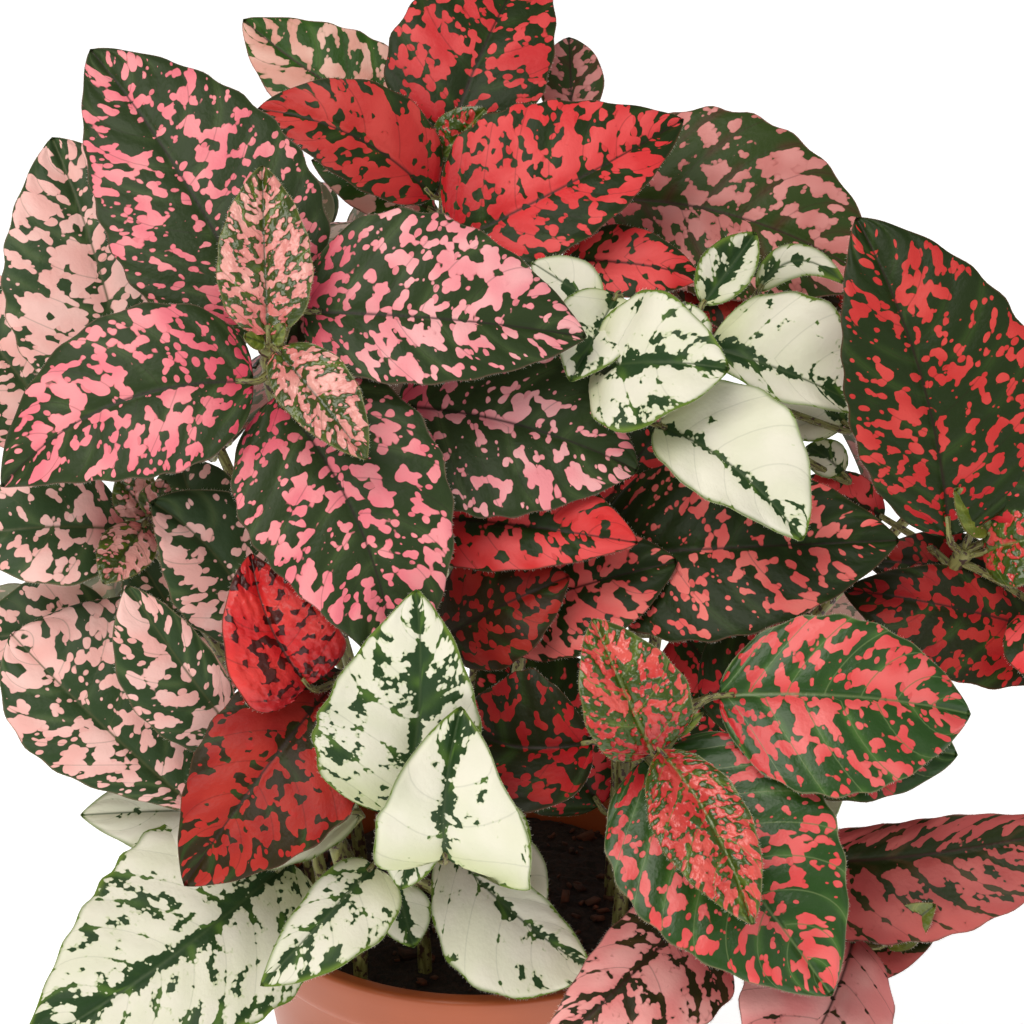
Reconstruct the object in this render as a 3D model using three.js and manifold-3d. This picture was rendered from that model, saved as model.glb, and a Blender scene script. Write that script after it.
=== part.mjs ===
// A mixed polka dot plant (Hypoestes phyllostachya) growing in a small terracotta-coloured pot.
// Millimetres, +Z up, origin at the middle of the pot's underside. The front faces -Y.
// The pot and its soil are turned bodies. Every leafy stem is one solid: the stem, its petioles
// and its leaf blades grow together, and its foot stands in a plain hole in the soil.
import * as THREE from 'three';
import { mergeVertices } from 'three/addons/utils/BufferGeometryUtils.js';
import Module from 'manifold-3d';

const wasm = await Module();
wasm.setup();

// Pot
const POT_HEIGHT = 92;
const RIM_RADIUS = 54;
const FOOT_RADIUS = 38;
const WALL = 2.4;
const FLOOR = 3;
const COLLAR_HEIGHT = 11;
const COLLAR_STEP = 1.3;
const LIP_RADIUS = 1.2;
const INNER_BEVEL = 0.7;
const FOOT_BEVEL = 1.5;
const POT_SIDES = 32;
const DRAIN_COUNT = 5;
const DRAIN_RADIUS = 4;
const DRAIN_CIRCLE = 23;
const DRAIN_SIDES = 10;

// Soil
const SOIL_TOP = POT_HEIGHT - 9;
const SOIL_CROWN = 3;
const SOIL_EDGE_DROP = 2;
const SOIL_EDGE_SLOPE = 4;
const SOIL_SHOULDER = [0.5, 0.7];
const SOIL_SIDES = 20;
const GAP = 0.3;
const HOLE_DEPTH = 12;
const HOLE_SIDES = 5;

// Foliage
const BLADE_THICKNESS = 0.7;
const BLADE_FOLD = 8;
const BLADE_CUP = -10;
const BLADE_WAVES = 2;
const FACE_LIFT = 0.3;
const STEM_RADIUS = 1.6;
const STEM_END_RADIUS = 1.2;
const STEM_SIDES = 5;
const STEM_STEPS = 4;
const PETIOLE_RADIUS = 0.85;
const PETIOLE_THIN = 0.2;
const PETIOLE_SHARE = 0.12;
const PETIOLE_FLATNESS = 0.75;
const PETIOLE_RISE = 0.08;
const PETIOLE_PULLS = [0.35, 0.3];
const SHORT_PETIOLE = 14;
const SMALL_BLADE = 10;
const MIDDLE_BLADE = 24;
const FOOT_RISE = 24;
const OUTLINE_BASE_POWER = 0.62;
const OUTLINE_TIP_POWER = 0.86;
const CURL_START = 0.5;
const PROFILE_STEPS = 8;

// The view that the front leaves were read in: a long lens that looks down on the pot.
// A place in it is [across, down, near]: two pixels of a picture of 1024 by 1024, and how many
// millimetres the point stands in front of the upright plane of view through the rim's centre.
const VIEW_ELEVATION = THREE.MathUtils.degToRad(24);
const VIEW_DEPTH = 861;
const PIXELS_PER_MM = 4.39;
const PICTURE_MIDDLE_PX = [512, 512];
const RIM_CENTRE_PX = [480, 878];

const RIM_CENTRE = new THREE.Vector3(0, 0, POT_HEIGHT);
const VIEW_RIGHT = new THREE.Vector3(1, 0, 0);
const VIEW_UP = new THREE.Vector3(0, Math.sin(VIEW_ELEVATION), Math.cos(VIEW_ELEVATION));
const VIEW_NEAR = new THREE.Vector3(0, -Math.cos(VIEW_ELEVATION), Math.sin(VIEW_ELEVATION));

function seen([across, down, near]) {
  const pixel = (VIEW_DEPTH - near) / (PIXELS_PER_MM * VIEW_DEPTH);
  const right = (across - PICTURE_MIDDLE_PX[0]) * pixel
    - (RIM_CENTRE_PX[0] - PICTURE_MIDDLE_PX[0]) / PIXELS_PER_MM;
  const up = (PICTURE_MIDDLE_PX[1] - down) * pixel
    - (PICTURE_MIDDLE_PX[1] - RIM_CENTRE_PX[1]) / PIXELS_PER_MM;
  return RIM_CENTRE.clone()
    .addScaledVector(VIEW_RIGHT, right)
    .addScaledVector(VIEW_UP, up)
    .addScaledVector(VIEW_NEAR, near);
}

// Leaves of the stems that show in front. `from` is how far up the stem the petiole leaves it,
// `base` and `tip` are the blade's ends in the view, `width` is the blade's width in millimetres.
// The shape options, in millimetres and degrees, are explained at bladePoint. The upper faces look
// toward the viewer and a little upward. A stem heads for its `bend` before it turns to its crown.
const LEAF_FACE = VIEW_NEAR.clone().addScaledVector(VIEW_UP, FACE_LIFT).normalize();

function leaf(from, base, tip, width, shape = {}) {
  return { from, base: seen(base), tip: seen(tip), width, face: LEAF_FACE, ...shape };
}

const FRONT_STEMS = [
  {
    name: 'stem_pink_front',
    colour: 'pink',
    root: [-14, -14],
    crown: [268, 346, 90],
    bend: [256, 400, 66],
    leaves: [
      leaf(0.99, [268, 336, 93], [262, 165, 86], 20, { fold: 16, arch: 2, belly: 0.36 }),
      leaf(0.99, [276, 350, 93], [367, 460, 104], 15.5, { fold: 14, arch: 2, skew: 0.1 }),
      leaf(0.99, [266, 344, 92], [243, 336, 96], 4),
      leaf(0.99, [272, 344, 92], [285, 323, 96], 4),
      leaf(0.9, [266, 334, 78], [90, 49, 60], 44.8,
        { fold: 5, arch: 5, bow: -1.7, skew: -0.08, belly: 0.36 }),
      leaf(0.94, [254, 382, 87], [1, 487, 84], 37, { fold: 8, arch: 6, bow: -5.2, belly: 0.34 }),
      leaf(0.94, [304, 312, 86], [587, 337, 80], 37.9,
        { fold: 9, arch: 5, bow: -0.6, skew: 0.2, belly: 0.34 }),
      leaf(0.86, [276, 396, 84], [397, 672, 90], 43, { fold: 8, arch: 5, bow: 4.6, belly: 0.36 }),
      leaf(0.8, [396, 406, 66], [639, 471, 71], 41.5,
        { fold: 6, arch: 4, bow: 1.7, skew: -0.05, belly: 0.4 }),
      leaf(0.88, [300, 374, 72], [298, 300, 66], 14),
    ],
  },
  {
    name: 'stem_blush_left',
    colour: 'blush',
    root: [-26, -8],
    crown: [149, 521, 64],
    bend: [186, 632, 50],
    leaves: [
      leaf(0.99, [150, 517, 66], [166, 480, 67], 8),
      leaf(0.99, [145, 524, 66], [103, 584, 76], 12),
      leaf(0.98, [148, 516, 62], [117, 476, 64], 10),
      leaf(0.95, [126, 530, 62], [-42, 538, 68], 27, { fold: 12, arch: 5 }),
      leaf(0.85, [135, 420, 56], [52, 137, 50], 43, { fold: 10, arch: 5, bow: -1.7 }),
      leaf(0.8, [70, 446, 42], [-64, 270, 34], 32, { fold: 8, arch: 5 }),
      leaf(0.9, [206, 548, 36], [178, 456, 36], 22, { fold: 8, arch: 3 }),
      leaf(0.5, [226, 700, 32], [132, 548, 32], 26, { fold: 8, arch: 3 }),
    ],
  },
  {
    name: 'stem_blush_low',
    colour: 'blush',
    root: [-34, -15],
    crown: [262, 694, 56],
    bend: [280, 760, 44],
    leaves: [
      leaf(0.97, [258, 648, 62], [151, 501, 73], 28.5,
        { fold: 12, arch: 4, bow: -3.9, skew: -0.05, belly: 0.46 }),
      leaf(0.8, [267, 771, 56], [127, 585, 76], 20.3,
        { fold: 10, arch: 5, bow: 1.4, skew: 0.35, belly: 0.61 }),
      leaf(0.88, [221, 828, 58], [11, 633, 60], 41.8,
        { fold: 8, arch: 5, bow: 1.6, skew: -0.3, belly: 0.66 }),
      leaf(0.8, [120, 640, 42], [-30, 640, 44], 26, { fold: 6, arch: 5 }),
    ],
  },
  {
    name: 'stem_red_low',
    colour: 'red',
    root: [-12, -28],
    crown: [340, 676, 68],
    bend: [352, 740, 54],
    leaves: [
      leaf(0.97, [308, 685, 78], [251, 553, 80], 25.7, { fold: 20, arch: 3, bow: 2.4, belly: 0.25 }),
      leaf(0.99, [344, 672, 66], [184, 886, 77], 35, { fold: 8, arch: 6, skew: 0.15 }),
    ],
  },
  {
    name: 'stem_white_front',
    colour: 'white',
    root: [-26, -36],
    crown: [420, 850, 76],
    bend: [376, 905, 58],
    leaves: [
      leaf(0.97, [397, 816, 80], [416, 589, 99], 34.9,
        { fold: 6, arch: 4, bow: -2.9, curl: [30, 50], wave: 2, skew: 0.21, belly: 0.36 }),
      leaf(0.99, [446, 859, 86], [461, 706, 100], 36.9,
        { fold: 22, arch: 5, bow: 1.1, curl: [20, 60], wave: 3, skew: -0.19, belly: 0.22 }),
      leaf(0.96, [424, 806, 84], [400, 890, 82], 13, { fold: 20 }),
      leaf(0.96, [492, 800, 84], [529, 858, 84], 8, { fold: 20 }),
    ],
  },
  {
    name: 'stem_white_low_front',
    colour: 'white',
    root: [-1, -31],
    crown: [398, 856, 50],
    bend: [400, 890, 40],
    leaves: [
      leaf(0.97, [374, 865, 66], [260, 986, 76], 18.8,
        { fold: 14, arch: 4, bow: 0.8, curl: [15, 15], wave: 1.2, skew: 0.3, belly: 0.33 }),
      leaf(0.97, [439, 832, 44], [593, 972, 60], 24.3,
        { fold: 5, arch: 6, bow: -3, curl: [30, 0], wave: 1, skew: -0.44, belly: 0.6 }),
      leaf(0.9, [396, 884, 42], [414, 948, 43], 12, { fold: 6 }),
      leaf(0.9, [482, 852, 48], [546, 905, 52], 16, { fold: 8, arch: 3 }),
    ],
  },
  {
    name: 'stem_white_low_left',
    colour: 'white',
    root: [-27, -24],
    crown: [335, 840, 44],
    bend: [336, 880, 36],
    leaves: [
      leaf(0.96, [289, 860, 46], [22, 1052, 66], 47,
        { fold: 6, arch: 8, bow: 3.7, wave: 1.5, skew: -0.04, belly: 0.32 }),
      leaf(0.99, [360, 812, 46], [80, 815, 50], 27, { fold: 8, arch: 4, curl: [0, 30], wave: 1.5 }),
    ],
  },
  {
    name: 'stem_red_centre',
    colour: 'red',
    root: [2, -12],
    crown: [430, 600, 54],
    bend: [436, 680, 40],
    leaves: [
      leaf(0.98, [436, 517, 64], [639, 543, 74], 29.5,
        { fold: 8, arch: 3, bow: -0.4, skew: 0.25, belly: 0.26 }),
      leaf(0.96, [440, 640, 60], [570, 576, 68], 25, { fold: 6, arch: 3 }),
      leaf(0.92, [468, 626, 50], [678, 561, 62], 29, { fold: 6, arch: 4, belly: 0.48 }),
    ],
  },
  {
    name: 'stem_red_right',
    colour: 'red',
    root: [32, -8],
    crown: [600, 590, 44],
    bend: [634, 690, 30],
    leaves: [
      leaf(0.97, [589, 555, 50], [900, 540, 66], 41.2, { fold: 8, arch: 5, bow: -1.4, belly: 0.39 }),
      leaf(0.9, [700, 700, 44], [862, 646, 50], 29, { fold: 8, arch: 4 }),
      leaf(0.8, [600, 806, 16], [486, 640, 18], 34, { fold: 8, arch: 4 }),
      leaf(0.94, [604, 508, 34], [664, 424, 34], 16, { fold: 8, arch: 3 }),
      leaf(0.86, [676, 660, 14], [622, 796, 16], 30, { fold: 8, arch: 3 }),
      leaf(0.9, [680, 630, 20], [766, 752, 17], 33, { fold: 8, arch: 3 }),
    ],
  },
  {
    name: 'stem_red_far_right',
    colour: 'red',
    root: [42, -6],
    crown: [966, 548, 56],
    bend: [930, 620, 40],
    leaves: [
      leaf(0.98, [949, 536, 62], [856, 217, 66], 42.5,
        { fold: 10, arch: 5, bow: -2.9, skew: -0.17, belly: 0.4 }),
      leaf(0.99, [980, 516, 60], [1084, 372, 60], 33, { fold: 8, arch: 5 }),
      leaf(0.93, [1012, 580, 46], [862, 560, 44], 16, { fold: 8, arch: 3 }),
      leaf(0.94, [884, 518, 38], [798, 482, 36], 12, { fold: 8, arch: 3 }),
      leaf(0.9, [1070, 640, 48], [842, 589, 52], 26, { fold: 8, arch: 5, skew: 0.25 }),
      leaf(0.97, [984, 552, 58], [1072, 536, 66], 20, { fold: 12, arch: 3 }),
      leaf(0.98, [990, 534, 60], [954, 488, 66], 9, { fold: 20 }),
      leaf(0.96, [1034, 606, 58], [1086, 700, 66], 24, { fold: 8, arch: 5 }),
    ],
  },
  {
    name: 'stem_scarlet_front',
    colour: 'scarlet',
    root: [35, -28],
    crown: [662, 742, 90],
    bend: [664, 830, 68],
    leaves: [
      leaf(0.99, [652, 752, 93], [593, 618, 92], 22.8,
        { fold: 16, arch: 3, bow: 0.5, skew: -0.08, belly: 0.32 }),
      leaf(0.99, [660, 750, 94], [753, 925, 110], 19.7,
        { fold: 16, arch: 3, bow: 1.8, skew: -0.2, belly: 0.46 }),
      leaf(0.99, [670, 738, 92], [704, 712, 96], 3),
      leaf(0.95, [718, 696, 86], [971, 714, 82], 38.4,
        { fold: 10, arch: 6, bow: 0.4, skew: -0.13, belly: 0.42 }),
      leaf(0.93, [646, 758, 84], [832, 996, 98], 45.7, { fold: 8, arch: 5, skew: 0.04, belly: 0.38 }),
      leaf(0.84, [592, 742, 74], [456, 716, 62], 33, { fold: 24, arch: 4, bow: 5 }),
      leaf(0.82, [768, 738, 66], [958, 755, 68], 27, { fold: 8, arch: 5 }),
    ],
  },
  {
    name: 'stem_rose_low_right',
    colour: 'rose',
    root: [39, -18],
    crown: [790, 892, 58],
    bend: [760, 920, 46],
    leaves: [
      leaf(0.93, [685, 921, 60], [528, 1073, 78], 28.6,
        { fold: 10, arch: 6, bow: 0.9, skew: 0.3, belly: 0.25 }),
      leaf(0.97, [784, 863, 60], [1122, 813, 68], 26.1,
        { fold: 10, arch: 5, bow: -3.6, wave: 2, skew: -0.42, belly: 0.34 }),
      leaf(0.97, [854, 934, 62], [770, 1111, 82], 32.7,
        { fold: 12, arch: 6, bow: 1.9, wave: 1.5, skew: -0.14, belly: 0.51 }),
      leaf(0.99, [884, 944, 66], [936, 904, 76], 9, { fold: 20 }),
      leaf(0.95, [822, 962, 58], [934, 940, 64], 14, { fold: 8, arch: 2 }),
    ],
  },
  {
    name: 'stem_white_centre',
    colour: 'white',
    root: [3, -22],
    crown: [624, 350, 62],
    bend: [520, 480, 40],
    leaves: [
      leaf(0.99, [592, 372, 70], [730, 369, 86], 31,
        { fold: 8, arch: 5, curl: [30, 10], wave: 1.5 }),
      leaf(0.99, [616, 296, 66], [570, 382, 78], 19, { fold: 30 }),
      leaf(0.96, [657, 425, 74], [803, 541, 86], 27,
        { fold: 12, arch: 4, bow: 2, curl: [0, 40], wave: 1.5, skew: 0.25, belly: 0.38 }),
      leaf(0.97, [600, 306, 58], [531, 262, 57], 13, { fold: 12 }),
      leaf(0.98, [692, 352, 66], [684, 301, 64], 10, { fold: 20 }),
    ],
  },
  {
    name: 'stem_white_right',
    colour: 'white',
    root: [31, -19],
    crown: [702, 350, 52],
    bend: [680, 480, 38],
    leaves: [
      leaf(0.98, [708, 347, 58], [870, 412, 56], 24,
        { fold: 10, arch: 4, curl: [50, 0], wave: 1.5, skew: 0.45 }),
      leaf(0.99, [702, 305, 54], [756, 232, 48], 13, { fold: 30 }),
      leaf(0.96, [758, 292, 42], [846, 285, 38], 8, { fold: 10, bow: 6.5 }),
      leaf(0.9, [844, 474, 40], [806, 446, 36], 9, { fold: 10, arch: 2 }),
      leaf(0.93, [846, 424, 38], [776, 380, 34], 20, { fold: 10, arch: 2 }),
    ],
  },
  {
    name: 'stem_red_top',
    colour: 'red',
    root: [-4, -3],
    crown: [444, 148, 34],
    bend: [446, 240, 26],
    leaves: [
      leaf(0.99, [448, 140, 32], [537, -46, 12], 35.9,
        { fold: 6, arch: 6, bow: 0.7, skew: 0.1, belly: 0.32 }),
      leaf(0.98, [433, 197, 38], [257, 109, 42], 23.8,
        { fold: 14, arch: 5, bow: -2.6, skew: -0.1, belly: 0.4 }),
      leaf(0.96, [454, 242, 44], [684, 119, 38], 35.5,
        { fold: 8, arch: 6, bow: -2.7, skew: 0.24, belly: 0.31 }),
      leaf(0.98, [440, 158, 36], [486, 108, 40], 12, { fold: 16 }),
      leaf(0.88, [560, 262, 36], [702, 278, 42], 17, { fold: 8, arch: 4 }),
    ],
  },
  {
    name: 'stem_rose_top_left',
    colour: 'rose',
    root: [-14, 6],
    crown: [410, 160, 14],
    bend: [410, 240, 8],
    leaves: [
      leaf(0.97, [418, 132, 16], [243, 19, 10], 26.5,
        { fold: 6, arch: 4, bow: 3.1, skew: -0.09, belly: 0.37 }),
      leaf(0.96, [434, 212, 18], [311, 160, 20], 16, { fold: 6, arch: 3 }),
    ],
  },
  {
    name: 'stem_rose_top_right',
    colour: 'rose',
    root: [3, 6],
    crown: [600, 186, 14],
    bend: [520, 300, 4],
    leaves: [
      leaf(0.98, [572, 128, 10], [569, 37, 0], 15, { fold: 10, arch: 3 }),
      leaf(0.98, [598, 199, 18], [882, 287, 22], 44.7,
        { fold: 8, arch: 6, bow: 3.5, skew: 0.07, belly: 0.38 }),
      leaf(0.92, [672, 270, 20], [866, 312, 22], 26, { fold: 8, arch: 4 }),
    ],
  },
];

// Stems that fill the back, the sides and the top. Their leaves stand in crossed pairs round the
// stem's end: `crown` is that end in millimetres above the rim, `turn` is the youngest pair's bearing
// and `size` scales the leaves.
const SHOOTS = [
  {
    name: 'shoot_blush_side', colour: 'blush', root: [-38, 4],
    crown: [-96, 35, 58], turn: 60, size: 0.95,
  },
  {
    name: 'shoot_pink_back_left', colour: 'pink', root: [-28, 18],
    crown: [-66, 59, 94], turn: 65, size: 1,
  },
  {
    name: 'shoot_white_back_left', colour: 'white', root: [-20, 32],
    crown: [-44, 83, 34], turn: 10, size: 0.9,
  },
  {
    name: 'shoot_red_back', colour: 'red', root: [-3, 28],
    crown: [2, 97, 82], turn: 25, size: 1,
  },
  {
    name: 'shoot_rose_back_right', colour: 'rose', root: [31, 26],
    crown: [60, 81, 44], turn: 15, size: 0.95,
  },
  {
    name: 'shoot_pink_side', colour: 'pink', root: [37, 15],
    crown: [106, 33, 86], turn: 70, size: 1,
  },
  {
    name: 'shoot_white_side', colour: 'white', root: [40, 5],
    crown: [74, 11, 4], turn: 10, size: 0.85,
  },
  {
    name: 'shoot_blush_top', colour: 'blush', root: [-12, 18],
    crown: [-36, 72, 130], turn: 60, size: 0.9,
  },
  {
    name: 'shoot_red_inner', colour: 'red', root: [30, 4],
    crown: [48, 72, 104], turn: 35, size: 0.95,
  },
];

// Crossed leaf pairs of such a stem, youngest first
const PAIRS = [
  { below: 1, petiole: 2, length: 17, width: 9, spread: 38 },
  { below: 5, petiole: 6, length: 38, width: 24, spread: 62 },
  { below: 15, petiole: 12, length: 52, width: 34, spread: 82 },
];
const SHOOT_CENTRE = new THREE.Vector3(0, -3, POT_HEIGHT + 14);
const SHOOT_UPTURN = 0.35;
const SHOOT_LEAN = 30;
const SHOOT_ARCH = 0.1;
const SHOOT_STEP = 0.006;

function shootStem({ name, colour, root, crown, turn, size }) {
  const end = new THREE.Vector3(crown[0], crown[1], crown[2] + POT_HEIGHT);
  const axis = end.clone().sub(SHOOT_CENTRE).normalize();
  axis.z += SHOOT_UPTURN;
  axis.normalize();
  const across = new THREE.Vector3(0, 0, 1).cross(axis).normalize();
  const leaves = [];
  PAIRS.forEach((pair, index) => {
    for (const half of [0, 180]) {
      const bearing = THREE.MathUtils.degToRad(turn + 90 * index + half);
      const spread = THREE.MathUtils.degToRad(pair.spread);
      const outward = across.clone().applyAxisAngle(axis, bearing);
      const direction = axis.clone().multiplyScalar(Math.cos(spread))
        .addScaledVector(outward, Math.sin(spread));
      const node = end.clone().addScaledVector(axis, -pair.below * size);
      const base = node.clone().addScaledVector(direction, pair.petiole * size);
      const tip = base.clone().addScaledVector(direction, pair.length * size);
      leaves.push({
        from: 1 - SHOOT_STEP * pair.below,
        base,
        tip,
        width: pair.width * size,
        face: axis,
        arch: SHOOT_ARCH * pair.length * size,
      });
    }
  });
  return { name, colour, root, end, bend: end.clone().addScaledVector(axis, -SHOOT_LEAN), leaves };
}

// Turns a closed mesh into a solid that can be joined and cut
function solid(geometry) {
  const plain = new THREE.BufferGeometry();
  plain.setAttribute('position', geometry.getAttribute('position').clone());
  if (geometry.index) {
    plain.setIndex(geometry.index.clone());
  }
  const merged = mergeVertices(plain, 1e-4);
  const indices = [];
  const corners = merged.index.array;
  for (let i = 0; i < corners.length; i += 3) {
    const [a, b, c] = [corners[i], corners[i + 1], corners[i + 2]];
    if (a !== b && b !== c && c !== a) {
      indices.push(a, b, c);
    }
  }
  return new wasm.Manifold(new wasm.Mesh({
    numProp: 3,
    vertProperties: new Float32Array(merged.getAttribute('position').array),
    triVerts: new Uint32Array(indices),
  }));
}

function geometryOf(manifold) {
  const mesh = manifold.getMesh();
  const geometry = new THREE.BufferGeometry();
  geometry.setAttribute('position', new THREE.BufferAttribute(new Float32Array(mesh.vertProperties), 3));
  geometry.setIndex(new THREE.BufferAttribute(new Uint32Array(mesh.triVerts), 1));
  geometry.computeVertexNormals();
  return geometry;
}

// A point of a leaf blade and the direction that its upper face looks in there.
// `along` runs from 0 at the blade's base to 1 at its tip, `across` from -1 to 1 over its width.
// arch and bow bend the midrib out of the blade and sideways, fold lifts both halves, curl rolls the
// outer part of each half, wave ruffles the margin, belly is where the blade is widest, and skew makes
// its left half wider than its right one.
function bladePoint(blade, along, across) {
  const { base, tip, width, face } = blade;
  const { arch = 0, bow = 0, fold = BLADE_FOLD, curl = [0, 0], wave = 0, belly, skew = 0 } = blade;
  const axis = tip.clone().sub(base);
  const length = axis.length();
  axis.divideScalar(length);
  const normal = face.clone().addScaledVector(axis, -face.dot(axis)).normalize();
  const left = normal.clone().cross(axis);

  const bend = 4 * along * (1 - along);
  const slope = 4 * (1 - 2 * along);
  const middle = base.clone()
    .addScaledVector(axis, length * along)
    .addScaledVector(normal, arch * bend)
    .addScaledVector(left, bow * bend);
  const tangent = axis.clone().multiplyScalar(length)
    .addScaledVector(normal, arch * slope)
    .addScaledVector(left, bow * slope)
    .normalize();
  const side = left.clone().addScaledVector(tangent, -left.dot(tangent)).normalize();
  const upper = tangent.clone().cross(side);

  const basePower = belly ? OUTLINE_TIP_POWER * belly / (1 - belly) : OUTLINE_BASE_POWER;
  const widest = basePower / (basePower + OUTLINE_TIP_POWER);
  const peak = widest ** basePower * (1 - widest) ** OUTLINE_TIP_POWER;
  const reach = Math.abs(across);
  const hand = across < 0 ? -1 : 1;
  const half = along > 0 && along < 1
    ? 0.5 * width * (1 + skew * hand) * along ** basePower * (1 - along) ** OUTLINE_TIP_POWER / peak
    : 0;
  const roundUp = across < 0 ? curl[1] : curl[0];
  const lean = (fraction) => {
    const outer = Math.max(0, (fraction - CURL_START) / (1 - CURL_START));
    return THREE.MathUtils.degToRad(fold + BLADE_CUP * fraction + roundUp * outer * outer);
  };
  let out = 0;
  let rise = 0;
  for (let step = 0; step < PROFILE_STEPS; step += 1) {
    const angle = lean(reach * (step + 0.5) / PROFILE_STEPS);
    out += half * reach / PROFILE_STEPS * Math.cos(angle);
    rise += half * reach / PROFILE_STEPS * Math.sin(angle);
  }
  rise += wave * reach * reach * Math.sin(Math.PI * along)
    * Math.sin(2 * Math.PI * BLADE_WAVES * along + hand);
  const angle = lean(reach);
  return {
    point: middle.addScaledVector(side, hand * out).addScaledVector(upper, rise),
    facing: upper.clone().multiplyScalar(Math.cos(angle)).addScaledVector(side, -hand * Math.sin(angle)),
    left,
  };
}

// One cross-section of a leaf: a ring of corners that runs over the upper face from the left
// margin to the right one, and back under the lower face. `place` gives the corner for a side
// position and a face of 1 or -1.
function leafRing(columns, place) {
  const ring = [];
  for (let column = 0; column <= columns; column += 1) {
    ring.push(place(1 - 2 * column / columns, 1));
  }
  for (let column = columns; column >= 0; column -= 1) {
    ring.push(place(1 - 2 * column / columns, -1));
  }
  return ring;
}

function petioleRing(columns, centre, tangent, left, radius) {
  const side = left.clone().addScaledVector(tangent, -left.dot(tangent)).normalize();
  const upper = tangent.clone().cross(side);
  return leafRing(columns, (across, face) => centre.clone()
    .addScaledVector(side, radius * across)
    .addScaledVector(upper, face * radius * Math.sqrt(1 - PETIOLE_FLATNESS * across * across)));
}

function bladeRing(columns, blade, along) {
  return leafRing(columns, (across, face) => {
    const { point, facing } = bladePoint(blade, along, across);
    return point.addScaledVector(facing, face * BLADE_THICKNESS / 2);
  });
}

// Petiole and blade of one leaf as a closed solid, split into triangles alike on both faces
function leafGeometry(blade, start) {
  const columns = blade.curl ? 4 : 2;
  const rows = 3 + (blade.width > SMALL_BLADE) + (blade.width > MIDDLE_BLADE);
  const left = bladePoint(blade, 0.5, 0).left;
  const intoBlade = bladePoint(blade, 0.02, 0).point.sub(blade.base).normalize();
  const span = start.distanceTo(blade.base);
  const radius = Math.min(PETIOLE_RADIUS, PETIOLE_SHARE * blade.width + PETIOLE_THIN);
  const petiole = new THREE.CubicBezierCurve3(
    start,
    start.clone().lerp(blade.base, PETIOLE_PULLS[0]).add(new THREE.Vector3(0, 0, PETIOLE_RISE * span)),
    blade.base.clone().addScaledVector(intoBlade, -PETIOLE_PULLS[1] * span),
    blade.base,
  );
  const petioleRows = span < SHORT_PETIOLE ? 1 : 2;
  const rings = [];
  for (let row = 0; row <= petioleRows; row += 1) {
    const along = row / petioleRows;
    const centre = petiole.getPoint(along);
    rings.push(petioleRing(columns, centre, petiole.getTangent(along), left, radius));
  }
  for (let row = 1; row < rows; row += 1) {
    rings.push(bladeRing(columns, blade, 0.5 - 0.5 * Math.cos(Math.PI * row / rows)));
  }
  const positions = rings.flat().flatMap((corner) => corner.toArray());
  const count = 2 * (columns + 1);
  const tipCorner = positions.length / 3;
  positions.push(...blade.tip.toArray());
  const indices = [];
  for (let ring = 0; ring < rings.length - 1; ring += 1) {
    for (let corner = 0; corner < count; corner += 1) {
      const next = (corner + 1) % count;
      const [a, b] = [ring * count + corner, ring * count + next];
      const [c, d] = [a + count, b + count];
      const leftHalf = corner < columns / 2 || corner > count - 2 - columns / 2;
      if (leftHalf === corner <= columns) {
        indices.push(a, b, c, b, d, c);
      } else {
        indices.push(a, b, d, a, d, c);
      }
    }
  }
  const last = (rings.length - 1) * count;
  for (let corner = 0; corner < count; corner += 1) {
    indices.push(last + corner, last + (corner + 1) % count, tipCorner);
  }
  for (let corner = 1; corner < count - 1; corner += 1) {
    indices.push(0, corner + 1, corner);
  }
  const geometry = new THREE.BufferGeometry();
  geometry.setAttribute('position', new THREE.Float32BufferAttribute(positions, 3));
  geometry.setIndex(indices);
  return geometry;
}

// The stem rises upright out of its hole, and bends to its crown
function stemCurve({ root, end, bend }) {
  const start = new THREE.Vector3(root[0], root[1], SOIL_TOP + SOIL_CROWN);
  return new THREE.CubicBezierCurve3(
    start,
    start.clone().add(new THREE.Vector3(0, 0, FOOT_RISE)),
    bend,
    end,
  );
}

// A point inside the stem, whose steps are straight
function stemPoint(curve, along) {
  const step = Math.min(Math.floor(along * STEM_STEPS), STEM_STEPS - 1);
  const low = curve.getPoint(step / STEM_STEPS);
  const high = curve.getPoint((step + 1) / STEM_STEPS);
  return low.lerp(high, along * STEM_STEPS - step);
}

function stemRing(centre, tangent, radius) {
  const side = new THREE.Vector3(1, 0, 0).addScaledVector(tangent, -tangent.x).normalize();
  const other = tangent.clone().cross(side);
  const ring = [];
  for (let i = 0; i < STEM_SIDES; i += 1) {
    const angle = 2 * Math.PI * i / STEM_SIDES;
    ring.push(centre.clone()
      .addScaledVector(side, radius * Math.cos(angle))
      .addScaledVector(other, radius * Math.sin(angle)));
  }
  return ring;
}

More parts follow.
